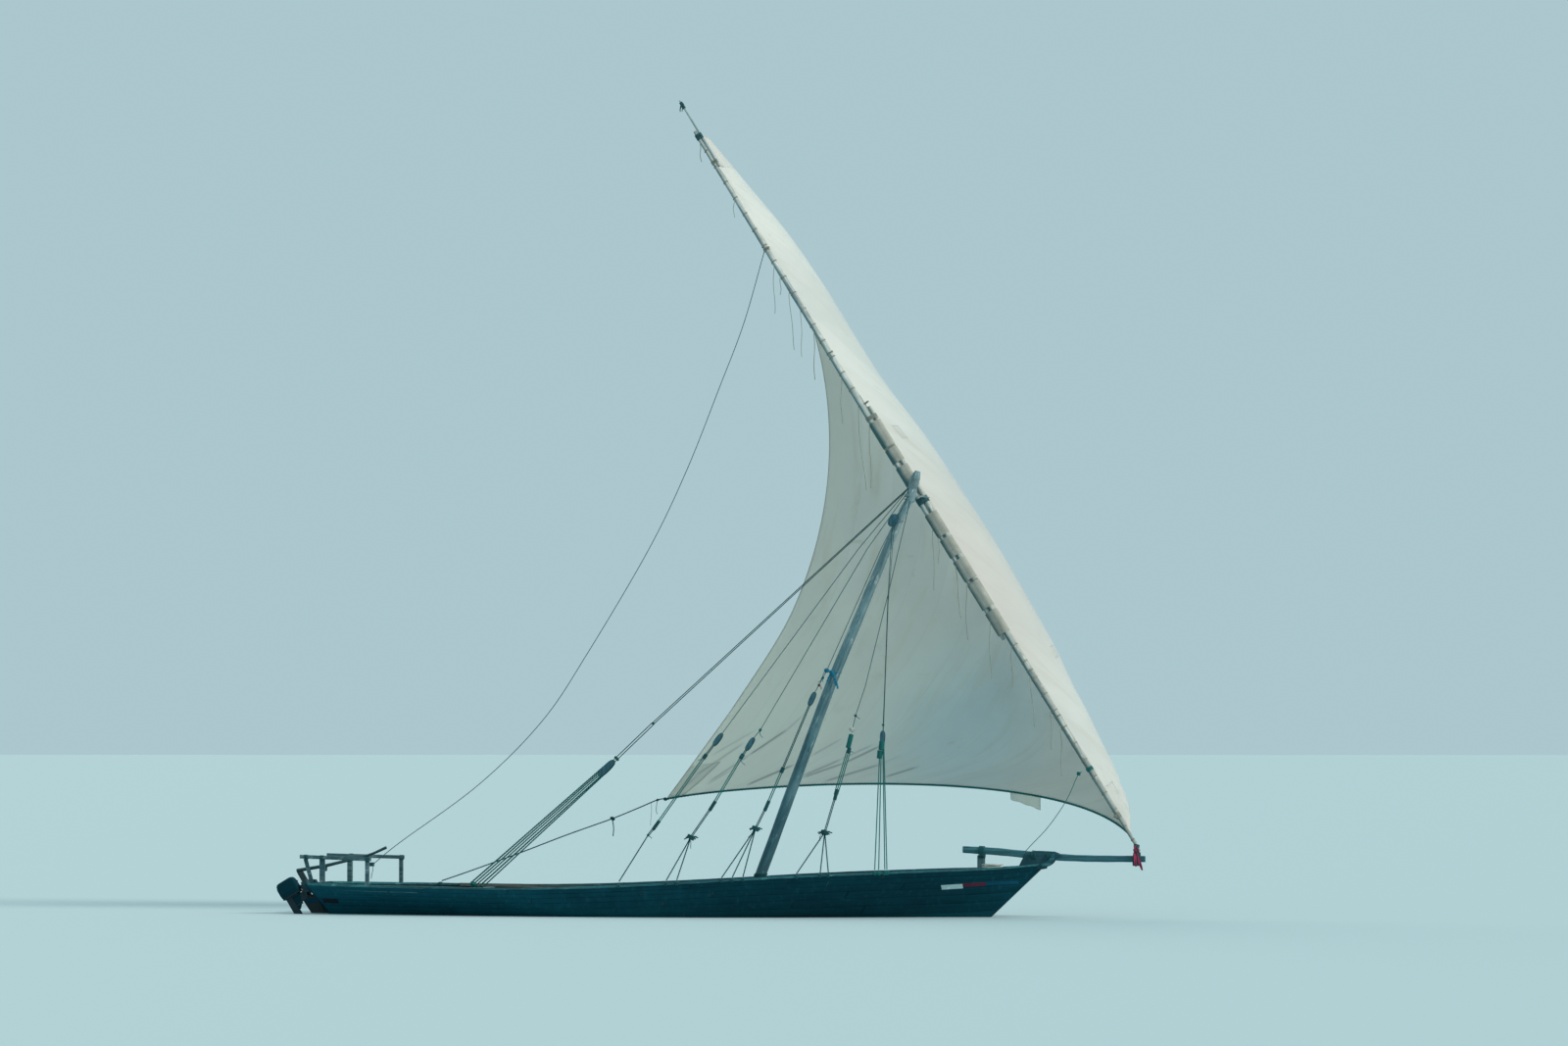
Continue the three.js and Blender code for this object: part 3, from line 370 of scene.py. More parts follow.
def canvas_look(name, light, middle, stain, seam_and_fold_shade):
    """Sail cloth in metres of UV from the clew: U across the cloths, V along them."""
    look = Look(name)
    rest = look.place
    look.place = look.node("ShaderNodeTexCoord").outputs["UV"]
    broad = look.noise((0.22, 0.16, 1), detail=6, rough=0.6, twist=0.4)
    colour = look.mix(look.between(broad, 0.36, 0.64), middle, light)
    strip = look.maths("DIVIDE", look.axis("X"), CLOTH_WIDTH)
    cloths = look.node("ShaderNodeTexWhiteNoise", {"W": look.maths("FLOOR", strip)}, noise_dimensions="1D")
    colour = look.mix(look.between(cloths.outputs["Value"], 0, 1, 0.0, 0.10), colour, dimmed(middle, 0.7))
    drip = look.noise((2.3, 0.35, 1), detail=5, rough=0.6, twist=0.8, shift=(4, 3, 0))
    colour = look.over(look.between(drip, 0.52, 0.74), 0.30, colour, stain)
    grime = look.noise((0.9, 1.2, 1), detail=6, rough=0.65, twist=1.2, shift=(9, 1, 0))
    colour = look.over(look.between(grime, 0.62, 0.74), 0.25, colour, dimmed(stain, 0.7))

    # Painted light: lighter, warmer cloth by the clew. Painted shade: cooler, darker cloth in the deep shade,
    # and darker, warmer cloth beside the yard
    reach = look.measure("LENGTH", look.place)
    colour = look.mix(look.between(reach, 8.5, 0.5, 0.0, 0.8), colour, (0.98, 0.95, 0.86))
    from_shade = look.measure("DISTANCE", rest, SHADE_PLACE)
    colour = look.mix(look.between(from_shade, 3.4, 0.8, 0.0, 0.8), colour, (0.80, 0.92, 1.0), "MULTIPLY")
    from_yard = look.measure("DISTANCE", rest, yard_at(8.9))
    colour = look.mix(look.between(from_yard, 4.6, 1.2), colour, (0.94, 0.905, 0.895), "MULTIPLY")
    # Painted shade: dark lines along the folds out of the clew
    fold_shade = painted_fold_shade(look, rest)
    colour = look.over(fold_shade, 0.55, colour, dimmed(seam_and_fold_shade, 0.42))

    near_seam = look.less(look.maths("MODULO", strip, 1.0), 0.5)
    seam = look.between(look.maths("ABSOLUTE", near_seam), 0.475, 0.49)
    colour = look.over(seam, 0.10, colour, seam_and_fold_shade)
    threads = {"Vector": look.place, "Scale": 60.0, "Distortion": 0.6}
    waves = [look.node("ShaderNodeTexWave", threads, bands_direction=axis).outputs["Fac"] for axis in "XY"]
    weave = look.sum(*waves)
    colour = look.mix(look.between(weave, 0, 2, 0.04, 0.0), colour, dimmed(middle, 0.5))
    look.base(colour)
    look.set("Roughness", 0.94)
    look.set("Sheen Weight", 0.45)
    look.set("Sheen Roughness", 0.45)
    look.set("Sheen Tint", (0.70, 0.90, 1.0, 1))
    crease = look.noise((1.6, 2.0, 1), detail=1.5, rough=0.4, twist=0.6, shift=(2, 6, 0))
    height = look.sum(look.times(crease, 0.5), look.times(fold_shade, -0.3))
    height = look.sum(height, look.times(seam, 0.05))
    look.bump(look.sum(height, look.times(weave, 0.0004)), 0.04)
    # Daylight comes through the cloth
    through = look.node("ShaderNodeBsdfTranslucent", {"Color": colour})
    blend = look.node("ShaderNodeMixShader", {0: 0.38, 1: look.shader.outputs[0], 2: through.outputs[0]})
    out = next(n for n in look.tree.nodes if n.type == "OUTPUT_MATERIAL")
    look.link(blend.outputs[0], out.inputs["Surface"])
    return look.material


def cloth_look(name, colour, fold):
    look = Look(name)
    broad = look.noise((9, 9, 9), detail=5, rough=0.6)
    look.base(look.mix(look.between(broad, 0.3, 0.7), fold, colour))
    look.set("Roughness", 0.9)
    look.set("Sheen Weight", 0.3)
    look.bump(look.noise((60, 60, 60), detail=4), 0.002)
    return look.material


def plastic_look(name, colour, scuff, rough):
    look = Look(name)
    broad = look.noise((5, 5, 5), detail=6, rough=0.65)
    scratch = look.noise((40, 120, 40), detail=5, rough=0.7, twist=0.6)
    marks = look.between(scratch, 0.6, 0.7)
    look.base(look.over(marks, 0.5, look.mix(broad, colour, dimmed(colour, 1.5)), scuff))
    look.set("Specular IOR Level", 0.06)
    look.set("Roughness", look.between(broad, 0.3, 0.7, rough, rough + 0.2))
    look.bump(scratch, 0.0006)
    return look.material


# Shapes: each is a pair of points and faces, closed, with its faces outward


def ring_faces(rings, sides, closed):
    i = np.arange(rings if closed else rings - 1)[:, None]
    j = np.arange(sides)[None, :]
    after, turn = ((i + 1) % rings) * sides, (j + 1) % sides
    quads = np.stack([i * sides + j, i * sides + turn, after + turn, after + j], -1)
    faces = quads.reshape(-1, 4).tolist()
    if not closed:
        faces.append(list(range(sides))[::-1])
        faces.append(list(range((rings - 1) * sides, rings * sides)))
    return faces


def tube(path, radii, sides=10, lobes=1.0, twist=0.0, closed=False, start=None):
    """A solid along a path. lobes is each side's share of the radius, and twist is its turn a metre."""
    path = np.asarray(path, float)
    count = len(path)
    radii = np.broadcast_to(np.asarray(radii, float), (count,))
    if closed:
        tangents = np.roll(path, -1, 0) - np.roll(path, 1, 0)
    else:
        tangents = np.gradient(path, axis=0)
    tangents /= np.linalg.norm(tangents, axis=1)[:, None]
    side = np.asarray(start, float) if start is not None else (
        arr(0, 0, 1) if abs(tangents[0][2]) < 0.9 else arr(0, 1, 0))
    across = np.empty_like(path)
    for i, tangent in enumerate(tangents):
        side = side - side @ tangent * tangent
        side /= np.linalg.norm(side)
        across[i] = side
    upright = np.cross(tangents, across)
    run = lengths_along(path)
    angle = 2 * math.pi * np.arange(sides) / sides + (twist * run)[:, None]
    reach = radii[:, None] * np.broadcast_to(lobes, (sides,))[None, :]
    points = (path[:, None] + (reach * np.cos(angle))[..., None] * across[:, None]
              + (reach * np.sin(angle))[..., None] * upright[:, None])
    return points.reshape(-1, 3), ring_faces(count, sides, closed)


def resampled(points, step):
    points = np.asarray(points, float)
    run = lengths_along(points)
    count = max(2, int(math.ceil(run[-1] / step)) + 1)
    places = np.linspace(0, run[-1], count)
    return np.stack([np.interp(places, run, points[:, k]) for k in range(3)], 1)


def curved(points, step=0.05):
    """A smooth line through the points."""
    points = np.asarray(points, float)
    if len(points) < 3:
        return resampled(points, step)
    ends = np.vstack([2 * points[0] - points[1], points, 2 * points[-1] - points[-2]])
    t = np.linspace(0, 1, 12, endpoint=False)[:, None]
    rows = []
    for a, b, c, d in zip(ends[:-3], ends[1:-2], ends[2:-1], ends[3:]):
        rows.append(0.5 * (2 * b + (c - a) * t + (2 * a - 5 * b + 4 * c - d) * t ** 2
                           + (3 * b - a - 3 * c + d) * t ** 3))
    return resampled(np.vstack([*rows, points[-1:]]), step)


def laid(points, radius, smooth=True):
    """Three-strand rope."""
    turn_length = radius * 8
    step = turn_length / 6
    path = curved(points, step) if smooth else resampled(points, step)
    return tube(path, radius, 6, lobes=[1.0, 0.74] * 3, twist=2 * math.pi / turn_length)


def rope_ring(points, radius):
    return tube(points, radius, 6, closed=True)


def box(low, high):
    (a, b, c), (d, e, f) = low, high
    points = arr((a, b, c), (d, b, c), (d, e, c), (a, e, c), (a, b, f), (d, b, f), (d, e, f), (a, e, f))
    return points, [[3, 2, 1, 0], [4, 5, 6, 7], [0, 1, 5, 4], [1, 2, 6, 5], [2, 3, 7, 6], [3, 0, 4, 7]]


def chamfered(centre, half, axes, cut):
    """A timber block: half sizes along three axes, with its edges taken off along the first."""
    first, second, third = (np.asarray(a, float) for a in axes)
    centre = np.asarray(centre, float)
    h, w = half[1], half[2]
    corners = ((h - cut, w), (cut - h, w), (-h, w - cut), (-h, cut - w),
               (cut - h, -w), (h - cut, -w), (h, cut - w), (h, w - cut))
    rings = []
    for along, inset in ((-half[0], cut), (cut - half[0], 0), (half[0] - cut, 0), (half[0], cut)):
        wide, deep = second * (1 - inset / h), third * (1 - inset / w)
        rings.append([centre + first * along + wide * u + deep * v for u, v in corners])
    return solid(rings)


def outward(points, faces):
    """Turns the faces round where the solid is inside out."""
    volume = sum(points[face[0]] @ np.cross(points[face[k]], points[face[k + 1]])
                 for face in faces for k in range(1, len(face) - 1))
    return points, faces if volume > 0 else [face[::-1] for face in faces]


def solid(rings):
    """A closed solid through rings of points."""
    rings = np.asarray(rings, float)
    return outward(rings.reshape(-1, 3), ring_faces(*rings.shape[:2], closed=False))


def slab(outer, inner):
    """A closed sheet between two grids of points."""
    rows, columns = outer.shape[:2]
    index = np.arange(rows * columns).reshape(rows, columns)
    under = index + rows * columns
    first, aside, far, above = np.s_[:-1, :-1], np.s_[:-1, 1:], np.s_[1:, 1:], np.s_[1:, :-1]
    top = np.stack([index[first], index[above], index[far], index[aside]], -1).reshape(-1, 4)
    low = np.stack([under[first], under[aside], under[far], under[above]], -1).reshape(-1, 4)
    faces = top.tolist() + low.tolist()
    edges = (
        (index[:-1, 0], index[1:, 0], under[1:, 0], under[:-1, 0], True),
        (index[:-1, -1], index[1:, -1], under[1:, -1], under[:-1, -1], False),
        (index[0, :-1], index[0, 1:], under[0, 1:], under[0, :-1], False),
        (index[-1, :-1], index[-1, 1:], under[-1, 1:], under[-1, :-1], True),
    )
    for a, b, c, d, turn in edges:
        quads = np.stack([a, b, c, d], -1)
        faces += (quads[:, ::-1] if turn else quads).tolist()
    return np.concatenate([outer.reshape(-1, 3), inner.reshape(-1, 3)]), faces


def hull_of(points):
    """The convex outline of flat points, anticlockwise."""
    ordered = sorted(map(tuple, points))

    def half(run):
        kept = []
        for p in run:
            while len(kept) > 1 and (
                (kept[-1][0] - kept[-2][0]) * (p[1] - kept[-2][1])
                - (kept[-1][1] - kept[-2][1]) * (p[0] - kept[-2][0])
            ) <= 0:
                kept.pop()
            kept.append(p)
        return kept[:-1]

    return np.array(half(ordered) + half(ordered[::-1]))


def loop_round(circles, u, v, centre, spare):
    """A closed line drawn tight round circles (u, v, radius) in the plane of u and v."""
    turn = round_turn(24)
    flat = np.concatenate([np.stack([cu + (r + spare) * np.cos(turn), cv + (r + spare) * np.sin(turn)], 1)
                           for cu, cv, r in circles])
    outline = hull_of(flat)
    closed = np.vstack([outline, outline[:1]])
    run = lengths_along(closed)
    places = np.linspace(0, run[-1], 26, endpoint=False)
    even = np.stack([np.interp(places, run, closed[:, k]) for k in (0, 1)], 1)
    return np.asarray(centre) + even[:, :1] * np.asarray(u) + even[:, 1:] * np.asarray(v)


def wrapped(circles, u, v, centre, rope_r, turns, along, lean=0.0):
    """Turns of rope side by side round one or more spars."""
    along = np.asarray(along, float)
    made = []
    for k in range(turns):
        shift = (k - (turns - 1) / 2) * rope_r * 2.02
        spare = rope_r * (1.0 + 0.12 * rng.random())
        line = loop_round(circles, u, v, np.asarray(centre) + along * shift, spare)
        if lean:
            line = line + np.outer((line - line.mean(0)) @ np.asarray(u), along) * lean
        made.append(rope_ring(line, rope_r))
    return made


def knot(centre, size, rope_r, turns=4):
    """A lump of crossed turns."""
    made = []
    centre = np.asarray(centre, float)
    for _ in range(turns):
        axis = unit([rng.uniform(-1, 1) for _ in range(3)])
        u = unit(np.cross(axis, arr(0.3, 0.5, 0.8)))
        v = np.cross(axis, u)
        turn = round_turn(12)
        wide = size * rng.uniform(0.5, 0.75)
        line = centre + np.outer(np.cos(turn), u) * wide + np.outer(np.sin(turn), v) * wide * 0.75
        made.append(rope_ring(line, rope_r))
    made.append(tube(centre + np.outer(np.linspace(-1, 1, 6), arr(0, 0, 1)) * size * 0.55,
                     size * 0.42 * arr(0.3, 0.85, 1, 1, 0.85, 0.3), 8))
    return made


def tail(start, length, radius, sway=0.06, lean=0.0):
    """A loose end that hangs."""
    down = np.linspace(0, 1, 9)
    phase = rng.uniform(0, 6.28)
    x = lean * down + sway * np.sin(3.3 * down + phase) * down * 0.5
    y = sway * np.cos(2.6 * down + phase) * down * 0.3
    return tube(np.asarray(start) + np.stack([x, y, -down * length], 1), radius, 5)


def round_rectangle(corners, near=0.12):
    """Points round a rectangle, each side's first and last this share of it from its corners."""
    return [(a + (c - a) * share, b + (d - b) * share)
            for (a, b), (c, d) in zip(corners, corners[1:] + corners[:1]) for share in (near, 0.5, 1 - near)]


def squarish(turn, power):
    """Cosine and sine of a rounded rectangle."""
    c, s = np.cos(turn), np.sin(turn)
    return np.sign(c) * np.abs(c) ** power, np.sign(s) * np.abs(s) ** power


def pulley(centre, along, across, length, width, thick):
    """A wooden shell with a sheave and a pin, and a rope strop round it; along is the pull's direction."""
    centre, along = np.asarray(centre, float), unit(along)
    across = unit(np.asarray(across, float) - np.asarray(across, float) @ along * along)
    face = np.cross(along, across)

    def ring(turn, power, shift, half_length, half_width):
        c, s = squarish(turn, power)
        flat = np.outer(c, along) * half_length + np.outer(s, across) * half_width
        return centre + face * shift * thick + flat

    made = []
    for side in (-1, 1):
        made.append(solid([ring(round_turn(20), 0.66, side * shift, length / 2 * grow, width / 2 * grow)
                           for shift, grow in ((0.18, 0.82), (0.30, 1.0), (0.42, 1.0), (0.5, 0.8))]))
    turn = round_turn(18)
    made.append(solid([ring(turn, 1, side * 0.15, width * grow, width * grow)
                       for side, grow in ((-1, 0.38), (-0.4, 0.33), (0.4, 0.33), (1, 0.38))]))
    made.append(solid([ring(turn, 1, side * 0.56, 0.012, 0.012) for side in (-1, 1)]))
    return made, [rope_ring(ring(turn, 0.75, 0, length / 2 + 0.012, width / 2 + 0.012), 0.012)]


# Pieces


def piece(name, parts, material, body="hull", slot=None, sharp=38, replaces=(), uv=None):
    points = np.concatenate([p for p, _ in parts])
    faces, base = [], 0
    for some, some_faces in parts:
        faces.extend([[v + base for v in face] for face in some_faces])
        base += len(some)
    mesh = bpy.data.meshes.new(name)
    mesh.from_pydata(points.tolist(), [], faces)
    mesh.polygons.foreach_set("use_smooth", [True] * len(mesh.polygons))
    mesh.set_sharp_from_angle(angle=math.radians(sharp))
    if uv is not None:
        layer = mesh.uv_layers.new(name="cloth")
        which = np.empty(len(mesh.loops), int)
        mesh.loops.foreach_get("vertex_index", which)
        layer.data.foreach_set("uv", np.asarray(uv, np.float32)[which].ravel())
    mesh.materials.append(material)
    made = add_object(name, mesh)
    if body:
        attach(made, body)
    if replaces:
        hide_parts(*replaces)
    return made


def rope_piece(name, parts, look, **more):
    return piece(name, parts, look, slot="rope", **more)


def dress(name, material, bevel):
    """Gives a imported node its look, and takes its edges off."""
    node = nodes[name]
    node.data.materials.clear()
    node.data.materials.append(material)
    if bevel:
        weld = node.modifiers.new("weld", "WELD")
        weld.merge_threshold = 0.0001
        cut = node.modifiers.new("bevel", "BEVEL")
        cut.width = bevel
        cut.segments = 2
        cut.limit_method = "ANGLE"
        cut.angle_limit = math.radians(32)
        cut.harden_normals = False
    for polygon in node.data.polygons:
        polygon.use_smooth = False


# Lines of the hull, as in the frame

RAKE = 0.6
TRANSOM_TOP_X, TRANSOM_TOP_Z = -9.8, 0.83
SIDING = 0.0903
PLANK = 0.045
STEM_AT_WATER, STEM_RAKE, STEM_DEPTH = 8.49, 1.06, 0.04
FOREFOOT_Z, FOREFOOT_BEND = -0.2, 0.59
RAIL_THICK, RAIL_OUT, RAIL_IN = 0.06, 0.02, 0.13
DECK_DROP = {"fore": 0.045, "after": 0.055}
DECK_THICK = 0.045
HOLD_AFT, HOLD_FORE, HOLD_FLOOR, HOLD_FLOOR_THICK = -6.5, 4.6, -0.44, 0.04
RIB_DEPTH = 0.085
DECK_CROWN, DECK_FALL = 0.04, 0.1
HULL_LENGTH = 19.0

# share of the length, sheer, half beam, rabbet, fullness, hollow
LINES = (
    (0.00, 0.765, 1.250, -1.150, 2.0, 1.5),
    (0.13, 0.725, 1.850, -1.130, 2.4, 1.0),
    (0.33, 0.695, 2.370, -1.100, 3.0, 0.35),
    (0.50, 0.815, 2.470, -1.075, 3.2, 0.15),
    (0.70, 1.040, 2.180, -1.050, 2.6, 0.3),
    (0.86, 1.180, 1.420, -1.020, 1.8, 0.6),
    (0.96, 1.265, 0.520, -1.000, 1.3, 0.7),
    (1.00, 1.350, 0.090, -0.980, 1.0, 0.8),
)


def cubic(rows, at):
    """The rows' values at a place between their first columns, on the frame's own smooth curve."""
    knots = [row[0] for row in rows]
    values = [np.array(row[1:], float) for row in rows]
    at = min(max(at, knots[0]), knots[-1])
    after = min(max(bisect.bisect_right(knots, at), 1), len(knots) - 1)
    low, high = knots[after - 1], knots[after]
    before_i, before_t = (after - 2, knots[after - 2]) if after > 1 else (after, high)
    next_i, next_t = (after + 1, knots[after + 1]) if after + 1 < len(knots) else (after - 1, low)
    weight_before = (high - low) / 2 / (low - before_t)
    weight_next = (high - low) / 2 / (next_t - high)
    p = (at - low) / (high - low)
    p2, p3 = p * p, p * p * p
    shares = (
        -weight_before * p3 + 2 * weight_before * p2 - weight_before * p,
        (1 + weight_before) * p3 + (-1.5 - 2 * weight_before) * p2 + (weight_before - 0.5) * p + 1,
        (-1 - weight_next) * p3 + (1.5 + weight_next) * p2 + 0.5 * p,
        weight_next * p3 - weight_next * p2,
    )
    return sum(share * values[row] for share, row in zip(shares, (before_i, after - 1, after, next_i)))


def transom_x(z):
    return TRANSOM_TOP_X + (TRANSOM_TOP_Z - z) * RAKE


def stem_x(z):
    below = max(0.0, FOREFOOT_Z - z)
    return STEM_AT_WATER + STEM_RAKE * z - FOREFOOT_BEND * below * below


def hull_point(share, girth):
    """A point of the outer face, to port: share runs from transom to stem, and girth from keel to rail."""
    sheer, half_beam, rabbet, fullness, hollow = cubic(LINES, share)
    z = rabbet + (sheer - rabbet) * girth
    swell = max(girth, 0.0) ** hollow * (1 - max(1 - girth, 0.0) ** fullness)
    aft = transom_x(z)
    fore = stem_x(z) - STEM_DEPTH
    return arr(aft + (fore - aft) * share, SIDING + (half_beam - 0.09) * swell, z)


def hull_skin(share, girth, inward):
    """A point this far inside the planks' outer face, to port."""
    step = 0.01
    along = hull_point(min(share + step, 1), girth) - hull_point(max(share - step, 0), girth)
    up = hull_point(share, min(girth + step, 1)) - hull_point(share, max(girth - step, 0.001))
    normal = unit(np.cross(up, along))
    point = hull_point(share, girth)
    if girth >= 1:
        point[1] -= inward / abs(normal[1])
    else:
        point -= np.sign(normal[1]) * normal * inward
    point[1] = max(point[1], SIDING)
    return point


def share_at(x):
    sheer, share = 0.9, 0.0
    for _ in range(6):
        aft = transom_x(sheer)
        share = min(max((x - aft) / (stem_x(sheer) - STEM_DEPTH - aft), 0), 1)
        sheer = cubic(LINES, share)[0]
    return share


def sheer_at(x):
    return cubic(LINES, share_at(x))[0]


def skin_at(x, z, inward):
    """The point of a side this far inside its face, to port, at a place and height."""
    share, girth = share_at(x), 0.5
    for _ in range(4):
        sheer, _, rabbet, _, _ = cubic(LINES, share)
        girth = (z - rabbet) / (sheer - rabbet)
        share = min(max(share + (x - hull_point(share, girth)[0]) / HULL_LENGTH, 0), 1)
    return hull_skin(share, min(girth, 1), inward)


def inside_half(x, z, inward):
    """Half the width inside the planks at a place and height."""
    return skin_at(x, z, inward)[1]


def flipped(part):
    points, faces = part
    return points * arr(1, -1, 1), [face[::-1] for face in faces]


STRAKES = (0.0, 0.12, 0.25, 0.38, 0.50, 0.61, 0.71, 0.80, 0.875, 0.94, 1.0)
BUTTS, BUTT_STAGGER, BUTT_GAP = (0.27, 0.53, 0.78), 0.067, 0.0004
# Metres of planking up a side, and rings of points over the whole length
SIDE_GIRTH, SIDE_RINGS = 1.9, 84
SEAM, PLANK_EDGE, DRAWN_IN = 0.0022, 0.007, 0.005


def make_planking(material):
    """Each side's strakes, in planks with staggered butts and open seams."""
    port = []
    gap, ease = SEAM / SIDE_GIRTH, PLANK_EDGE / SIDE_GIRTH
    for k, (low, high) in enumerate(zip(STRAKES, STRAKES[1:])):
        low_in, high_in = low + (gap if low > 0 else 0), high - (gap if high < 1 else 0)
        butts = [0.0] + [b + BUTT_STAGGER * ((k * 2) % 5 - 2) / 2 for b in BUTTS] + [1.0]
        for first, last in zip(butts, butts[1:]):
            proud = rng.uniform(-0.0008, 0.0012)
            a = first + (BUTT_GAP if first > 0 else 0)
            b = last - (BUTT_GAP if last < 1 else 0)
            out = max(-proud, -0.001)
            section = ((low_in, DRAWN_IN), (low_in + ease, out), ((low_in * 2 + high_in) / 3, out),
                       ((low_in + high_in * 2) / 3, out), (high_in - ease, out), (high_in, DRAWN_IN),
                       (high_in, PLANK), ((low_in + high_in) / 2, PLANK), (low_in, PLANK))
            port.append(solid([[hull_skin(share, g, inward) for g, inward in section]
                               for share in np.linspace(a, b, max(6, int((b - a) * SIDE_RINGS)))]))
    piece("planks_port", port, material, slot="black_hull", sharp=30, replaces=("planking_port",))
    piece("planks_starboard", [flipped(part) for part in port], material, slot="black_hull", sharp=30,
          replaces=("planking_starboard",))


RAIL_SCARFS = (0.0, 0.19, 0.41, 0.62, 0.83, 1.0)


def make_rails(material):
    """Cap rails in scarfed lengths, with worn edges."""
    for side, name in ((1, "port"), (-1, "starboard")):
        parts = []
        for k, (first, last) in enumerate(zip(RAIL_SCARFS, RAIL_SCARFS[1:])):
            lift = 0.0015 * (k % 2)
            rings = []
            for share in np.linspace(first + 0.0002, last - 0.0002, 22):
                top = hull_point(share, 1)
                wear = 0.004 * math.sin(share * 61) + 0.003 * math.sin(share * 173 + side)
                out = top[1] + RAIL_OUT + wear * 0.6
                inner = max(top[1] - RAIL_IN + wear, SIDING)
                low = top[2] + 0.0003
                high = low + RAIL_THICK + lift + wear * 0.3
                round_off = min(0.014, (out - inner) / 3)
                section = ((out, low + 0.006), (out, high - round_off), (out - round_off, high),
                           (inner + round_off, high), (inner, high - round_off), (inner, low))
                rings.append([(top[0], side * y, z) for y, z in section])
            parts.append(solid(rings))
        piece(f"cap_rail_{name}", parts, material, slot="grey_wood", sharp=50, replaces=(f"rail_{name}",))


# colour, aft end, fore end, heights of its middle at them, width
BANDS = (
    ("white", 7.34, 7.87, 0.790, 0.822, 0.115),
    ("red", 7.875, 8.44, 0.846, 0.874, 0.085),
    ("blue", 8.445, 9.25, 0.880, 0.918, 0.085),
    ("blue", -9.84, -9.44, 0.365, 0.362, 0.105),
    ("dark_red", -9.435, -8.98, 0.355, 0.350, 0.120),
)
BAND_PROUD = 0.004


def make_stripes(looks):
    """Painted bands on thin battens below the rail, on both sides."""
    grouped = {}
    for colour, aft, fore, aft_z, fore_z, width in BANDS:
        rings = []
        for x in np.linspace(aft, fore, 9):
            z = aft_z + (fore_z - aft_z) * (x - aft) / (fore - aft)
            rings.append([skin_at(x, z + up * width / 2, inward * BAND_PROUD)
                          for up, inward in ((1, -1), (1, 1), (-1, 1), (-1, -1))])
        part = solid(rings)
        grouped.setdefault(colour, []).extend([part, flipped(part)])
    for colour, parts in grouped.items():
        piece(f"painted_band_{colour}", parts, looks[colour], slot="black_hull")


def deck_height(x, y, drop):
    return sheer_at(x) - drop + DECK_CROWN - DECK_FALL * abs(y) / 3.0


def boards(xs, halves, plank, gap, lifts, top_at, edge, thick, least, hole=None):
    """Planks laid fore and aft, cut to half widths at places, and round a hole with ends and a half width."""
    parts = []
    count = int(max(halves) / plank) + 2
    for k in range(-count, count):
        low, high = k * plank + gap, (k + 1) * plank - gap
        lift = rng.uniform(*lifts)
        rings = []
        for x, half in zip(xs, halves):
            a, b = max(low, -half), min(high, half)
            if b - a < least or (hole and hole[0] < x < hole[1] and abs((low + high) / 2) < hole[2]):
                if len(rings) > 1:
                    parts.append(solid(rings))
                rings = []
                continue
            za, zb = top_at(x, a) + lift, top_at(x, b) + lift
            rings.append([(x, a, za - edge), (x, a + edge + 0.001, za), (x, b - edge - 0.001, zb),
                          (x, b, zb - edge), (x, b, zb - thick), (x, a, za - thick)])
        if len(rings) > 1:
            parts.append(solid(rings))
    return parts


def make_deck(where, aft, fore, material):
    drop = DECK_DROP[where]
    xs = np.linspace(aft, fore, 26)
    halves = [inside_half(x, sheer_at(x) - drop - 0.02, PLANK + 0.002) for x in xs]
    parts = boards(xs, halves, plank=0.17, gap=0.003, lifts=(-0.002, 0.001), edge=0.004, thick=DECK_THICK,
                   least=0.02, top_at=lambda x, y: deck_height(x, y, drop))
    piece(f"{where}deck_planks", parts, material, slot="grey_wood", replaces=(f"{where}deck",))


def make_hold_floor(material):
    """Floor boards over the ribs, with a square left open round the mast."""
    xs = np.linspace(HOLD_AFT + 0.06, HOLD_FORE - 0.06, 28)
    halves = [inside_half(x, HOLD_FLOOR - 0.02, PLANK + RIB_DEPTH + 0.003) for x in xs]
    parts = boards(xs, halves, plank=0.21, gap=0.004, lifts=(-0.006, 0), edge=0.005, thick=HOLD_FLOOR_THICK,
                   least=0.03, top_at=lambda x, y: HOLD_FLOOR, hole=(1.3, 2.15, 0.22))
    piece("hold_floor_boards", parts, material, slot="brown_wood", replaces=("hold_floor",))


STRINGER_GIRTHS = (0.62, 0.80, 0.955)
STRINGER_HALF_GIRTH, STRINGER_THICK = 0.022, 0.035


def make_stringers(material):
    """Long battens on the ribs inside the hold, on each side."""
    parts = []
    section = [(up * STRINGER_HALF_GIRTH, into)
               for up, into in ((1, 0.001), (-1, 0.001), (-1, STRINGER_THICK), (1, STRINGER_THICK))]
    for girth in STRINGER_GIRTHS:
        rings = []
        for x in np.linspace(HOLD_AFT + 0.06, HOLD_FORE - 0.06, 30):
            rings.append([hull_skin(share_at(x), girth + up, PLANK + RIB_DEPTH + into)
                          for up, into in section])
        part = solid(rings)
        parts.extend([part, flipped(part)])
    piece("hold_stringers", parts, material, slot="brown_wood")


# Mast, spars and sail

# height, place along the boat, radius
MAST = (
    (-0.7, 1.648, 0.150), (0.8, 2.214, 0.150), (6.046, 4.192, 0.142), (10.5, 6.089, 0.115),
    (11.7, 6.600, 0.075),
)
MAST_ALONG = (0.38, 0, 0.92)
YARD_TACK, YARD_TIP = arr(12.230, 0, 1.894), arr(-0.010, 0.480, 21.694)
YARD_OVERLAP = 0.0772
SAIL_FOOT_Z, SAIL_HEAD_Z = 1.91, 20.80
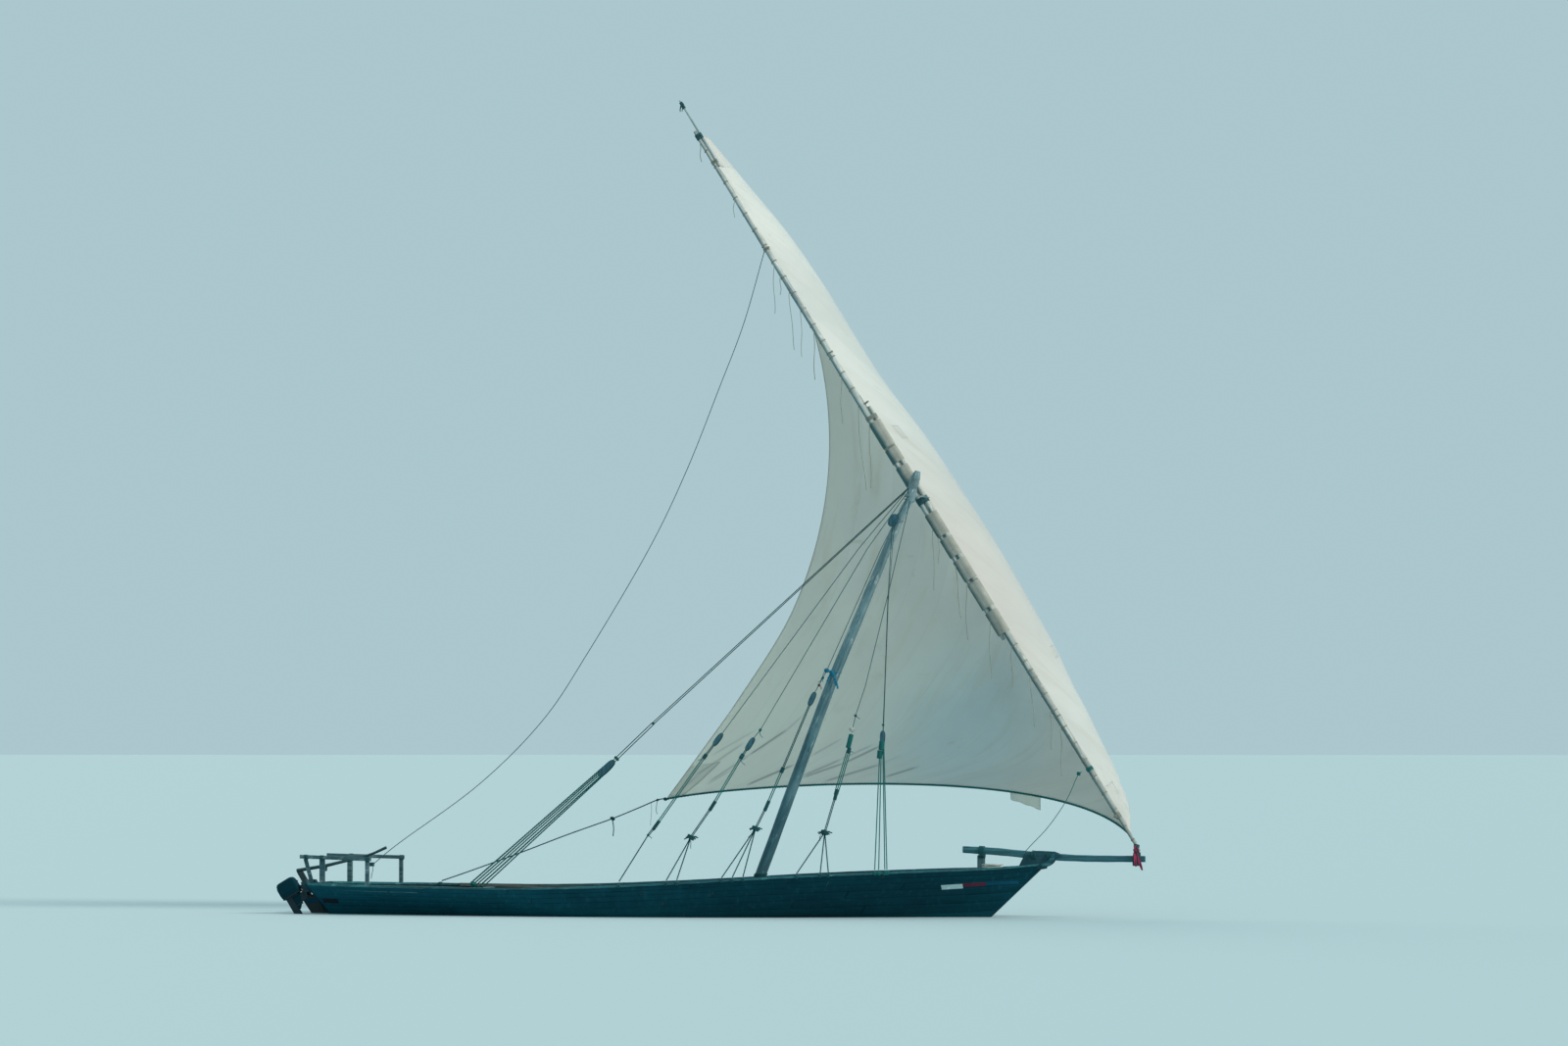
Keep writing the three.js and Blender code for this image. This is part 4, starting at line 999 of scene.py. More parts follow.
# Each spar's rows of height and radius, and how far it lies ahead of the yard's line
SPARS = {
    "yard_lower": (((1.7, 0.038), (2.48, 0.044), (2.58, 0.064), (4.0, 0.080), (8.0, 0.088), (13.4, 0.055)),
                   YARD_OVERLAP),
    "yard_upper": (((7.3, 0.055), (9.0, 0.072), (13.4, 0.084), (17.0, 0.074), (20.9, 0.048)), -YARD_OVERLAP),
    "yard_tip": (((19.9, 0.030), (21.694, 0.024)), 0.007),
}
YARD_ALONG = unit(YARD_TIP - YARD_TACK)
YARD_AHEAD = unit(np.cross(arr(0, 1, 0), YARD_ALONG))
YARD_SIDE = np.cross(YARD_ALONG, YARD_AHEAD)


def mast_at(z):
    return arr(np.interp(z, [row[0] for row in MAST], [row[1] for row in MAST]), 0, z)


def mast_radius(z):
    return float(np.interp(z, [row[0] for row in MAST], [row[2] for row in MAST]))


def yard_at(z, ahead=0.0):
    share = (z - YARD_TACK[2]) / (YARD_TIP[2] - YARD_TACK[2])
    return YARD_TACK + (YARD_TIP - YARD_TACK) * share + YARD_AHEAD * ahead


def spar_radius(name, z):
    rows = SPARS[name][0]
    return float(np.interp(z, [row[0] for row in rows], [row[1] for row in rows]))


def spars_here(z):
    """The spars that a turn of rope round the yard takes in at this height, as circles square to the yard."""
    return [(ahead, 0.0, spar_radius(name, z)) for name, (rows, ahead) in SPARS.items()
            if rows[0][0] - 0.05 < z < rows[-1][0] + 0.05]


def yard_turns(circles, centre, rope_r, turns, lean=0.0):
    return wrapped(circles, YARD_AHEAD, YARD_SIDE, centre, rope_r, turns, YARD_ALONG, lean)


def mast_wraps(centre, radius, rope_r, turns):
    return wrapped([(0, 0, radius)], (1, 0, 0), (0, 1, 0), centre, rope_r, turns, MAST_ALONG)


def grown(path, radii, seed, sides, rough, knots):
    """A tree trunk: round, with a slightly uneven skin and knots."""
    points, faces = tube(path, radii, sides, start=(0, 1, 0))
    count = len(path)
    grid = points.reshape(count, sides, 3)
    centre = np.asarray(path)[:, None]
    i = np.arange(count)[:, None] / count
    j = np.arange(sides)[None, :] * 2 * math.pi / sides
    # turns round, waves along, share of the seed, height
    waves = ((2, 9, 1, 0.5), (3, -17, 2, 0.35), (1, 31, 3, 0.4), (0, 47, 1, 0.3), (4, 90, 0, 0.2))
    wave = sum(np.sin(around * j + up * i + part * seed) * high for around, up, part, high in waves)
    bulge = np.zeros_like(wave)
    for place, around, high in knots:
        near = ((i - place) * count / 2.2) ** 2 + (np.angle(np.exp(1j * (j - around))) / 0.5) ** 2
        bulge += high * np.exp(-near)
    grid = centre + (grid - centre) * (1 + rough * (wave - 0.9) * 0.55 + bulge)[..., None]
    return grid.reshape(-1, 3), faces


# height, aft face, fore face: the head is deeper than the mast below it, for the halyard's sheave
MASTHEAD = (
    (10.61, 6.020, 6.252), (10.82, 6.135, 6.375), (10.90, 6.205, 6.415), (10.93, 6.222, 6.480),
    (11.07, 6.253, 6.510), (11.30, 6.287, 6.558), (11.52, 6.355, 6.620), (11.60, 6.400, 6.626),
    (11.70, 6.487, 6.626),
)
MAST_BEND_Z, MAST_BEND_REACH = 6.046, 0.5


def tree_knots(count, low, high):
    """Knots at random places along and round a spar, this high in shares of its radius."""
    return [(rng.random(), rng.uniform(0, 6.28), rng.uniform(low, high)) for _ in range(count)]


def make_mast(material):
    top = [11.675, 11.695, 11.7]
    heights = np.concatenate([np.linspace(-0.7, 10.80, 100), np.linspace(10.86, 11.64, 26), top])
    path = np.array([mast_at(z) for z in heights])
    # The bend in the trunk is eased over a metre
    low, high = MAST_BEND_Z - MAST_BEND_REACH, MAST_BEND_Z + MAST_BEND_REACH
    for k in np.where(np.abs(heights - MAST_BEND_Z) < MAST_BEND_REACH)[0]:
        share = heights[k] - low
        path[k] = path[k] * 0.6 + (mast_at(low) * (1 - share) + mast_at(high) * share) * 0.4
    radii = np.array([mast_radius(z) for z in heights])
    radii[-3:] *= (0.96, 0.85, 0.6)
    points, faces = grown(path, radii, 1.3, 22, 0.055, tree_knots(16, 0.04, 0.10))
    grid = points.reshape(len(path), -1, 3)
    levels = [row[0] for row in MASTHEAD]
    for k in np.where(heights > levels[0])[0]:
        aft, fore = (np.interp(heights[k], levels, [row[c] for row in MASTHEAD]) for c in (1, 2))
        grid[k, :, 0] = (aft + fore) / 2 + (grid[k, :, 0] - path[k][0]) / radii[k] * (fore - aft) / 2
    piece("mast_trunk", [(grid.reshape(-1, 3), faces)], material, slot="spar_wood", sharp=60,
          replaces=("mast",))


def make_yard(looks):
    for name, (rows, ahead) in SPARS.items():
        low, high = rows[0][0], rows[-1][0]
        heights = np.linspace(low, high, int((high - low) * 9))
        sway = np.sin((heights - low) / (high - low) * math.pi * 2.6)[:, None] * 0.008
        path = np.array([yard_at(z, ahead) for z in heights]) + sway * YARD_SIDE
        radii = np.array([spar_radius(name, z) for z in heights])
        radii[[0, -1]] *= 0.8
        pole = grown(path, radii * 1.03, low, 16, 0.06, tree_knots(int((high - low) * 1.6), 0.06, 0.2))
        piece(f"{name}_pole", [pole], looks[name], slot="spar_wood", sharp=60, replaces=(name,))


# share of the luff, leech x y z, the pull of the curve out of the luff x y z, and out of the leech x y z
SAIL_ROWS = (
    (0.000, -1.22, 4.20, 3.03, -1.75, 2.45, 2.20, 1.50, 0.70, 0.37),
    (0.022, -0.97, 4.39, 3.42, 0.82, 2.80, 2.05, 2.50, 0.73, 0.52),
    (0.060, -0.53, 4.70, 4.10, 1.64, 2.94, 1.50, 3.70, 0.75, 0.70),
    (0.150, 0.47, 5.40, 5.68, 2.23, 3.41, 0.90, 3.60, 0.80, 0.50),
    (0.300, 1.98, 6.00, 8.33, 2.57, 3.77, 0.40, 3.20, 0.80, 0.20),
    (0.500, 2.95, 5.80, 11.86, 2.12, 2.96, 0.00, 2.40, 0.60, 0.00),
    (0.700, 2.95, 4.40, 15.39, 0.98, 1.51, 0.00, 1.50, 0.50, 0.00),
    (0.850, 2.15, 2.75, 18.04, 0.77, 0.86, 0.00, 0.80, 0.25, 0.00),
    (1.000, 0.60, 1.10, 20.73, 0.26, 0.20, 0.00, 0.06, 0.02, 0.00),
)
# The luff's place by height: ahead of the yard's line, and to its port side
LUFF_LINE = (
    (1.90, 0.0851, 0.151),
    (11.90, 0.0851, 0.151),
    (12.60, 0.0700, 0.150),
    (14.00, -0.030, 0.135),
    (14.80, -0.042, 0.130),
    (21.70, -0.042, 0.130),
)
# Folds that run out of the clew, creased into the cloth and with painted shade along them: x and z of one end
# and of the other, and strength
CLEW_FOLDS = (
    (1.03, 3.43, 2.22, 3.95, 1.0), (2.74, 4.22, 3.49, 4.65, 0.45), (2.59, 3.68, 3.57, 4.11, 0.7),
    (3.57, 4.11, 4.42, 4.50, 0.45), (2.59, 3.63, 3.71, 4.02, 0.8), (3.71, 4.02, 4.63, 4.46, 0.9),
    (3.27, 3.53, 4.70, 3.97, 0.85), (4.70, 3.97, 5.26, 4.21, 0.3), (4.98, 3.65, 5.80, 3.91, 0.85),
    (-0.05, 3.53, 0.98, 4.24, 0.55), (0.98, 4.24, 1.94, 4.91, 0.95), (1.94, 4.91, 2.37, 5.32, 0.4),
    (-0.47, 3.68, 0.73, 4.53, 0.5), (-0.04, 4.25, 1.01, 4.88, 0.35), (-0.11, 3.45, 0.47, 3.80, 0.4),
    (-0.85, 3.28, -0.43, 3.67, 0.4),
)
# Where the cloth is in the deepest shade
SHADE_PLACE = (7.05, 4.2, 4.90)
SAIL_THICK = 0.005
CLOTH_WIDTH = 0.93
FLAT_FOOT, FLAT_LUFF, FLAT_LEECH = 15.2, 22.0, 19.6
SAIL_ROWS_MADE, SAIL_COLUMNS_MADE = 264, 96


def flat_corners():
    """The cut's three corners, tack, clew and head, with the leech along V."""
    along = (FLAT_LUFF ** 2 + FLAT_FOOT ** 2 - FLAT_LEECH ** 2) / (2 * FLAT_FOOT)
    tack, clew = arr(0, 0), arr(FLAT_FOOT, 0)
    head = arr(along, math.sqrt(FLAT_LUFF ** 2 - along ** 2))
    up = unit(head - clew)
    out = arr(-up[1], up[0])
    return [arr((p - clew) @ out, (p - clew) @ up) for p in (tack, clew, head)]


FLAT = flat_corners()


def flat_at(s, t):
    tack, clew, head = FLAT
    share = np.stack([(1 - s) * (1 - t), (1 - s) * t, s], -1)
    return share @ np.stack([tack, clew, head])


def luff_at(z):
    ahead, side = cubic(LUFF_LINE, z)
    return yard_at(z, ahead) + YARD_SIDE * side


def sail_surface(s, t):
    """The sail's middle surface without its creases, for a column of s by a row of t."""
    rows = []
    u = t[:, None]
    weights = ((1 - u) ** 3, 3 * u * (1 - u) ** 2, 3 * u * u * (1 - u), u ** 3)
    for share in s:
        edge, first, second = cubic(SAIL_ROWS, share).reshape(3, 3)
        luff = luff_at(SAIL_FOOT_Z + (SAIL_HEAD_Z - SAIL_FOOT_Z) * share)
        rows.append(sum(w * p for w, p in zip(weights, (luff, luff + first, edge + second, edge))))
    return np.array(rows)


def grid_normals(grid):
    along = np.gradient(grid, axis=1)
    up = np.gradient(grid, axis=0)
    normal = np.cross(along, up)
    length = np.linalg.norm(normal, axis=2)
    length[length == 0] = 1
    return normal / length[..., None]


TIES = 45


def hump(distance, reach):
    return np.exp(-(distance / reach) ** 2)


def creases(s, t, plain):
    """Height of the creases, puckers and slack over the whole grid, whose points are plain."""
    grid_s, grid_t = np.meshgrid(s, t, indexing="ij")
    flat = flat_at(grid_s, grid_t)
    across, along = flat[..., 0], flat[..., 1]
    height = np.zeros(grid_s.shape)
    for x, z, far_x, far_z, strength in CLEW_FOLDS:
        length = math.hypot(far_x - x, far_z - z)
        dx, dz = plain[..., 0] - x, plain[..., 2] - z
        run = (dx * (far_x - x) + dz * (far_z - z)) / length
        off = (dz * (far_x - x) - dx * (far_z - z)) / length
        fade = np.clip((run + 0.3) / 0.5, 0, 1) * np.clip((length + 0.3 - run) / 0.5, 0, 1)
        height += 0.012 * strength * fade * (hump(off - 0.09, 0.09) - hump(off + 0.07, 0.09))
    # Puckers between the ties
    place = grid_s * (TIES - 1)
    between = np.sin(place * math.pi) ** 2
    uneven = 0.65 + 0.35 * np.sin(place * 1.7) * np.sin(place * 3.1 + 1)
    height -= 0.030 * between * uneven * np.exp(-grid_t / 0.030) * (1 - grid_s * 0.6)
    wrinkle = np.sin(place * 2 * math.pi + 26 * grid_t + np.sin(place))
    height += 0.010 * wrinkle * uneven * np.exp(-grid_t / 0.05)
    height += 0.020 * np.sin(place * 1.55 + 3 * np.sin(grid_t * 9)) * hump(grid_t - 0.08, 0.09)
    # Slack over the whole cloth, and pulls at the head, the tack and the leech
    slack = np.sin(along * 0.55 + 1.3 * np.sin(across * 0.4))
    height += 0.012 * np.sin(across * 1.9 + 0.6 * np.sin(along * 0.7)) * slack
    tack, _, head = FLAT
    from_tack = flat - tack
    spread = np.degrees(np.arctan2(from_tack[..., 1], from_tack[..., 0]))
    height += 0.012 * np.sin(across * 9) * np.exp(-np.linalg.norm(flat - head, axis=2) / 1.8)
    height += 0.016 * np.sin(spread * 0.62) * hump(np.linalg.norm(from_tack, axis=2) - 1.6, 1.3)
    height += 0.014 * np.sin(along * 2.3) * np.exp((grid_t - 1) * 14 / 0.35)
    # The edges keep their place
    return height * (np.clip(grid_t / 0.006, 0, 1) * np.clip((1 - grid_t) / 0.004, 0.25, 1)
                     * np.clip(grid_s / 0.01, 0.1, 1))


def scalloped(grid, s, t):
    """Draws the luff back between its ties."""
    into = np.gradient(grid, axis=1)
    into /= np.maximum(np.linalg.norm(into, axis=2), 1e-9)[..., None]
    between = np.sin(s * (TIES - 1) * math.pi) ** 2 * (0.7 + 0.3 * np.sin(s * 83))
    reach = 0.055 * between[:, None] * np.exp(-t / 0.02)[None, :] * (1 - 0.55 * s)[:, None]
    return grid + into * reach[..., None]


class SailCloth:
    """The creased surface, read anywhere by its share up the luff and its reach from it."""

    def __init__(self):
        ease = np.linspace(0, 1, SAIL_COLUMNS_MADE + 1)
        self.t = ease - 0.10 * np.sin(2 * math.pi * ease) / (2 * math.pi)
        self.s = np.linspace(0, 1, SAIL_ROWS_MADE + 1)
        plain = scalloped(sail_surface(self.s, self.t), self.s, self.t)
        self.normal = grid_normals(plain)
        self.middle = plain + self.normal * creases(self.s, self.t, plain)[..., None]
        self.normal = grid_normals(self.middle)

    def at(self, s, t, off=0.0):
        """A point on the cloth, off to its face away from the camera by this much."""
        i = np.clip(np.interp(s, self.s, np.arange(len(self.s))), 0, len(self.s) - 1.0001)
        j = np.clip(np.interp(t, self.t, np.arange(len(self.t))), 0, len(self.t) - 1.0001)
        a, b = int(i), int(j)
        u, v = i - a, j - b

        def read(grid):
            return ((1 - u) * (1 - v) * grid[a, b] + u * (1 - v) * grid[a + 1, b]
                    + (1 - u) * v * grid[a, b + 1] + u * v * grid[a + 1, b + 1])

        return read(self.middle) + unit(read(self.normal)) * off


# Corner pieces and mends: low and high share up the luff, low and high reach from it
PATCHES = (
    (0.0005, 0.050, 0.930, 0.999), (0.0005, 0.075, 0.001, 0.050), (0.955, 0.999, 0.01, 0.99),
    (0.245, 0.262, 0.12, 0.155), (0.565, 0.585, 0.06, 0.10), (0.345, 0.358, 0.30, 0.325),
)
PATCH_OFF = 0.0036


def flat_uv(s, t):
    """The cut's coordinates for the two faces of a sheet over rows and columns of the sail."""
    return np.tile(flat_at(*np.meshgrid(s, t, indexing="ij")).reshape(-1, 2), (2, 1))


def sheet_of(grid, face):
    """A closed sheet this far to each side of a grid."""
    return outward(*slab(grid + face, grid - face))


def cloth_piece(name, parts, look, slot="canvas", **more):
    return piece(name, parts, look, body="sail", slot=slot, **more)


def make_sail(looks):
    cloth = SailCloth()
    sail = cloth_piece("sail_cloth", [sheet_of(cloth.middle, cloth.normal * SAIL_THICK / 2)], looks["canvas"],
                       sharp=180, replaces=("sail",), uv=flat_uv(cloth.s, cloth.t))

    parts, patch_uv = [], []
    for low_s, high_s, low_t, high_t in PATCHES:
        s, t = np.linspace(low_s, high_s, 9), np.linspace(low_t, high_t, 9)
        faces = [np.array([[cloth.at(a, b, off) for b in t] for a in s]) for off in (PATCH_OFF, -PATCH_OFF)]
        parts.append(outward(*slab(*faces)))
        patch_uv.append(flat_uv(s, t))
    patches = cloth_piece("sail_patches", parts, looks["canvas_patch"], sharp=180,
                          uv=np.concatenate(patch_uv))

    edge = np.linspace(0, 1, 150)
    foot = np.array([cloth.at(0, t) for t in edge])
    leech = np.array([cloth.at(s, 1) for s in edge])
    luff = np.array([cloth.at(s, 0) for s in edge])
    strap = YARD_TACK + YARD_AHEAD * YARD_OVERLAP + arr(-0.02, 0.07, 0.10)
    foot_rope = cloth_piece("foot_rope", [laid(foot, 0.034)], looks["rope_green"], "rope")
    tack_loop = laid(curved([foot[1], foot[0] + arr(0.03, -0.01, -0.06), strap], 0.03), 0.016)
    edge_ropes = cloth_piece("edge_ropes", [laid(leech, 0.011), laid(luff, 0.014), tack_loop],
                             looks["rope_pale"], "rope")

    # A loose corner of cloth that hangs below the foot
    rows = []
    down = np.linspace(0, 1, 8)
    for k, t in enumerate(np.linspace(0.262, 0.318, 13)):
        sway = math.sin(k * 1.3)
        hang = arr(0.02 * k / 12, 0.03 * sway, 0.012 * k - 0.012 * sway - 0.37)
        rows.append([cloth.at(0, t) + hang * v + arr(0, 0, 0.01) for v in down])
    rows = np.array(rows)
    flap_grid = np.meshgrid(np.linspace(3, 3.8, 13), np.linspace(0, 0.4, 8), indexing="ij")
    flap = cloth_piece("loose_flap", [sheet_of(rows, grid_normals(rows) * 0.002)], looks["canvas_flap"],
                       sharp=180, uv=np.tile(np.stack(flap_grid, -1).reshape(-1, 2), (2, 1)))
    print("sail area", round(cloth_area(cloth.middle), 2), "flap", round(cloth_area(rows), 3))
    return cloth


def cloth_area(grid):
    a = grid[1:, :-1] - grid[:-1, :-1]
    b = grid[:-1, 1:] - grid[:-1, :-1]
    c = grid[1:, :-1] - grid[1:, 1:]
    d = grid[:-1, 1:] - grid[1:, 1:]
    return float((np.linalg.norm(np.cross(a, b), axis=2) + np.linalg.norm(np.cross(c, d), axis=2)).sum() / 2)


# Lashings along the yard

TIE_R = 0.008


def make_ties(looks, cloth):
    """Turns round the spars, each with a tie to the sail's edge."""
    # spar, first tie, last tie, how far it lies ahead, height of the tie that stands for its run
    for name, first, last, ahead, middle_z in (("lower", 0, 28, YARD_OVERLAP, 8.0),
                                               ("upper", 28, TIES, -YARD_OVERLAP, 17.5)):
        parts = []
        axis = YARD_TACK + YARD_AHEAD * ahead
        for k in range(first, last):
            share = min(max(k / (TIES - 1), 0.004), 0.996)
            luff = cloth.at(share, 0)
            centre = axis + YARD_ALONG * ((luff - axis) @ YARD_ALONG)
            radius = spar_radius(f"yard_{name}", centre[2])
            parts += yard_turns([(0.0, 0.0, radius)], centre, TIE_R, 2, lean=0.12)
            start = centre + unit(luff - centre) * radius
            for shift in (-0.012, 0.012):
                ends = [start + YARD_ALONG * shift * 0.4, luff + YARD_ALONG * shift]
                parts.append(tube(resampled(ends, 0.02), TIE_R * 0.9, 6))
            parts += knot(luff, 0.028, 0.006, 2)
        made = rope_piece(f"sail_ties_{name}", parts, looks["rope_tan"], body=None)
        middle = luff_at(middle_z)
        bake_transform(made)


# height, turns, rope radius, rope
SPAR_LASHINGS = (
    (7.50, 8, 0.008, "rope_tan"), (8.75, 5, 0.007, "rope_tan"), (9.62, 5, 0.008, "rope_tan"),
    (10.93, 9, 0.010, "rope_grey"), (11.62, 4, 0.007, "rope_tan"), (12.35, 5, 0.007, "rope_tan"),
    (13.15, 7, 0.008, "rope_tan"), (14.9, 3, 0.007, "rope_tan"), (17.70, 5, 0.009, "rope_tan"),
    (20.05, 6, 0.008, "rope_tan"), (20.74, 8, 0.010, "rope_grey"), (3.83, 5, 0.010, "rope_green"),
    (5.2, 3, 0.007, "rope_tan"), (6.4, 3, 0.007, "rope_tan"), (2.62, 9, 0.009, "rope_tan"),
)


# name, low end and high end of the close turns along the two spars' overlap
WRAPS = (("low", 7.42, 10.72), ("high", 11.30, 13.25))
WRAP_R, WRAP_PITCH = 0.016, 0.0323


def make_spar_lashings(looks):
    grouped = {}
    for z, turns, radius, rope in SPAR_LASHINGS:
        found = grouped.setdefault(rope, [])
        found += yard_turns(spars_here(z), yard_at(z), radius, turns)
        size, lumps = (0.035, 2) if turns < 9 else (0.07, 4)
        found += knot(yard_at(z, 0.02) - YARD_SIDE * (spars_here(z)[0][2] + 0.02), size, radius * 0.9, lumps)
    # Close turns, in lengths with short gaps
    for name, low, high in WRAPS:
        parts = []
        z = low
        while z < high:
            turns = rng.randint(13, 24)
            length = turns * WRAP_PITCH * YARD_ALONG[2]
            if z + length > high:
                break
            middle = z + length / 2
            parts += yard_turns(spars_here(middle), yard_at(middle), WRAP_R, turns)
            z += length + rng.uniform(0.05, 0.12)
        rope_piece(f"spar_wraps_{name}", parts, looks[f"wrap_{name}"])
    # A tuft of old lashing at the yard's end
    top = yard_at(21.60, 0.007)
    tuft = yard_turns([(0.007, 0, 0.026)], yard_at(21.56), 0.011, 9)
    for k in range(8):
        turn = k * 0.8
        out = YARD_AHEAD * math.cos(turn) * 0.05 + YARD_SIDE * math.sin(turn) * 0.05
        end = top + out * 1.1 - arr(0, 0, 0.10 + 0.05 * (k % 3))
        tuft.append(tube(curved([top, top + out - YARD_ALONG * 0.03, end], 0.03), 0.011, 5))
    tuft += knot(top, 0.062, 0.011, 5)
    grouped.setdefault("rope_grey", []).extend(tuft)
    for rope, parts in grouped.items():
        rope_piece(f"yard_lashings_{rope[5:]}", parts, looks[rope])


# height on the yard, length
TAILS = (
    (20.60, 0.52), (19.07, 0.50), (17.29, 1.30), (16.99, 0.50), (16.60, 1.58), (16.08, 1.25), (15.51, 1.29),
    (14.31, 1.26), (13.57, 2.30), (13.05, 1.72), (10.30, 1.68), (10.05, 0.72), (9.30, 1.41), (8.87, 1.56),
    (7.85, 1.57), (7.09, 1.12), (6.29, 1.35), (5.40, 1.05), (4.98, 1.32),
)


def make_tails(looks):
    """Loose ends of the lashings, each a free cord that hangs from the yard."""
    down = np.linspace(0, 1, 18)
    for k, (z, length) in enumerate(TAILS):
        ahead, _, radius = min(spars_here(z), key=lambda circle: circle[0])
        start = yard_at(z, ahead) - YARD_SIDE * (radius * 0.7) - YARD_AHEAD * radius * 0.6
        rope_r = 0.008 if k % 3 else 0.010
        lean = (0.10 if k % 4 == 0 else 0.03) * length
        path = start + np.stack([lean * down ** 1.3 + 0.015 * np.sin(down * 7 + k),
                                 -0.03 - 0.05 * down + 0.012 * np.sin(down * 5 + 2 * k), -down * length], 1)
        path[0] = start
        path = curved(path, length / 40)
        made = rope_piece(f"loose_end_{k + 1}", [tube(path, rope_r, 8)], looks["rope_tan"])


# Standing and running rigging

# top: height on the mast; line: down to the upper fitting; split: where one line becomes several;
# block: a wooden block in the upper fitting, or else a bundle of turns; lower: the lower fitting;
# knots: place, size and rope; the last is where the feet meet
SHROUD_LINES = {
    "shroud_1": {
        "top": 11.48, "line": [(5.043, -0.427, 9.645), (1.775, -1.507, 5.009)],
        "upper": (1.520, -1.590, 4.640), "split": (1.187, -1.697, 4.188), "lower": (-0.02, -2.10, 2.40),
        "block": True, "parts": 2, "feet": [(-0.930, -2.455, 0.935)],
        "knots": [(1.187, -1.697, 4.188, 0.045, "blue"), (-0.22, -2.17, 2.14, 0.04, "dark")],
    },
    "shroud_2": {
        "top": 11.435, "line": [(5.278, -0.423, 9.643), (2.644, -1.543, 4.887)],
        "upper": (2.390, -1.630, 4.52), "split": (2.180, -1.708, 4.188), "lower": (1.47, -2.01, 2.91),
        "block": True, "parts": 2, "feet": [(0.340, -2.465, 0.975), (0.62, -2.465, 0.985)],
        "knots": [(2.644, -1.543, 4.887, 0.065, "green"), (2.180, -1.708, 4.188, 0.075, "blue"),
                  (0.936, -2.201, 2.095, 0.11, "dark")],
    },
    "shroud_3": {
        "top": 11.39, "line": [(5.641, -0.401, 9.641), (4.337, -1.135, 6.443)],
        "upper": (3.98, -1.31, 5.70), "split": (3.267, -1.735, 3.831), "lower": (2.907, -1.944, 2.913),
        "block": True, "parts": 2, "feet": [(1.80, -2.40, 1.045), (2.08, -2.37, 1.060), (2.36, -2.35, 1.075)],
        "knots": [(4.337, -1.135, 6.443, 0.10, "blue"), (4.24, -1.18, 6.25, 0.055, "dark"),
                  (4.15, -1.225, 6.06, 0.05, "red"), (2.636, -2.080, 2.328, 0.12, "dark")],
    },
    "shroud_4": {
        "top": 11.345, "line": [(5.862, -0.598, 8.424), (5.355, -1.087, 6.031), (5.125, -1.246, 5.262)],
        "upper": (4.995, -1.370, 4.60), "split": (4.98, -1.434, 4.342), "lower": (4.687, -1.666, 3.207),
        "block": False, "parts": 3,
        "feet": [(3.75, -2.20, 1.155), (4.355, -2.08, 1.185), (4.56, -2.04, 1.195)],
        "knots": [(5.125, -1.246, 5.262, 0.045, "dark"), (5.045, -1.34, 4.90, 0.09, "pale"),
                  (4.985, -1.42, 4.40, 0.055, "green"), (4.431, -1.867, 2.228, 0.13, "dark")],
    },
}
ROPES = ("old", "grey", "dark", "green", "blue", "pale", "red")
# Rope radii in a shroud: its one line, its turns round the mast, the parts above, between and below its knots
SHROUD_LINE_R, SHROUD_HEAD_R, SHROUD_UPPER_R, SHROUD_MIDDLE_R, SHROUD_LOWER_R, SHROUD_FOOT_R = (
    0.0125, 0.011, 0.016, 0.0175, 0.0165, 0.020)
SHROUD_BLOCK = (0.36, 0.11, 0.09)


def side_by_side(start, end, count, gap, radius):
    """Parts of a tackle side by side."""
    start, end = np.asarray(start, float), np.asarray(end, float)
    side = unit(np.cross(unit(end - start), arr(0, 1, 0)))
    shifts = [side * gap * (k - (count - 1) / 2) for k in range(count)]
    return [laid([start + shift, end + shift], radius) for shift in shifts]


def seizing(start, end, radius, rope_r):
    """Close turns round lines that run together."""
    start, end = np.asarray(start, float), np.asarray(end, float)
    along = unit(end - start)
    u = unit(np.cross(along, arr(0, 1, 0)))
    count = int(np.linalg.norm(end - start) / rope_r / 2.05)
    return wrapped([(0, 0, radius)], u, np.cross(along, u), (start + end) / 2, rope_r, count, along)


def burst(centre, size, radius, count):
    """Stiff ends that stand out of a knot, mostly sideways."""
    made = []
    start = np.asarray(centre, float)
    for k in range(count):
        turn = 2 * math.pi * (k + 0.3 * rng.random()) / count
        out = arr(math.cos(turn) * 1.2, 0.5 * math.sin(2.3 * k), math.sin(turn) * 0.35)
        end = start + out * size * rng.uniform(0.8, 1.3) - arr(0, 0, size * 0.2)
        made.append(tube(curved([start, start + out * size * 0.6, end], size / 4), radius, 5))
    return made


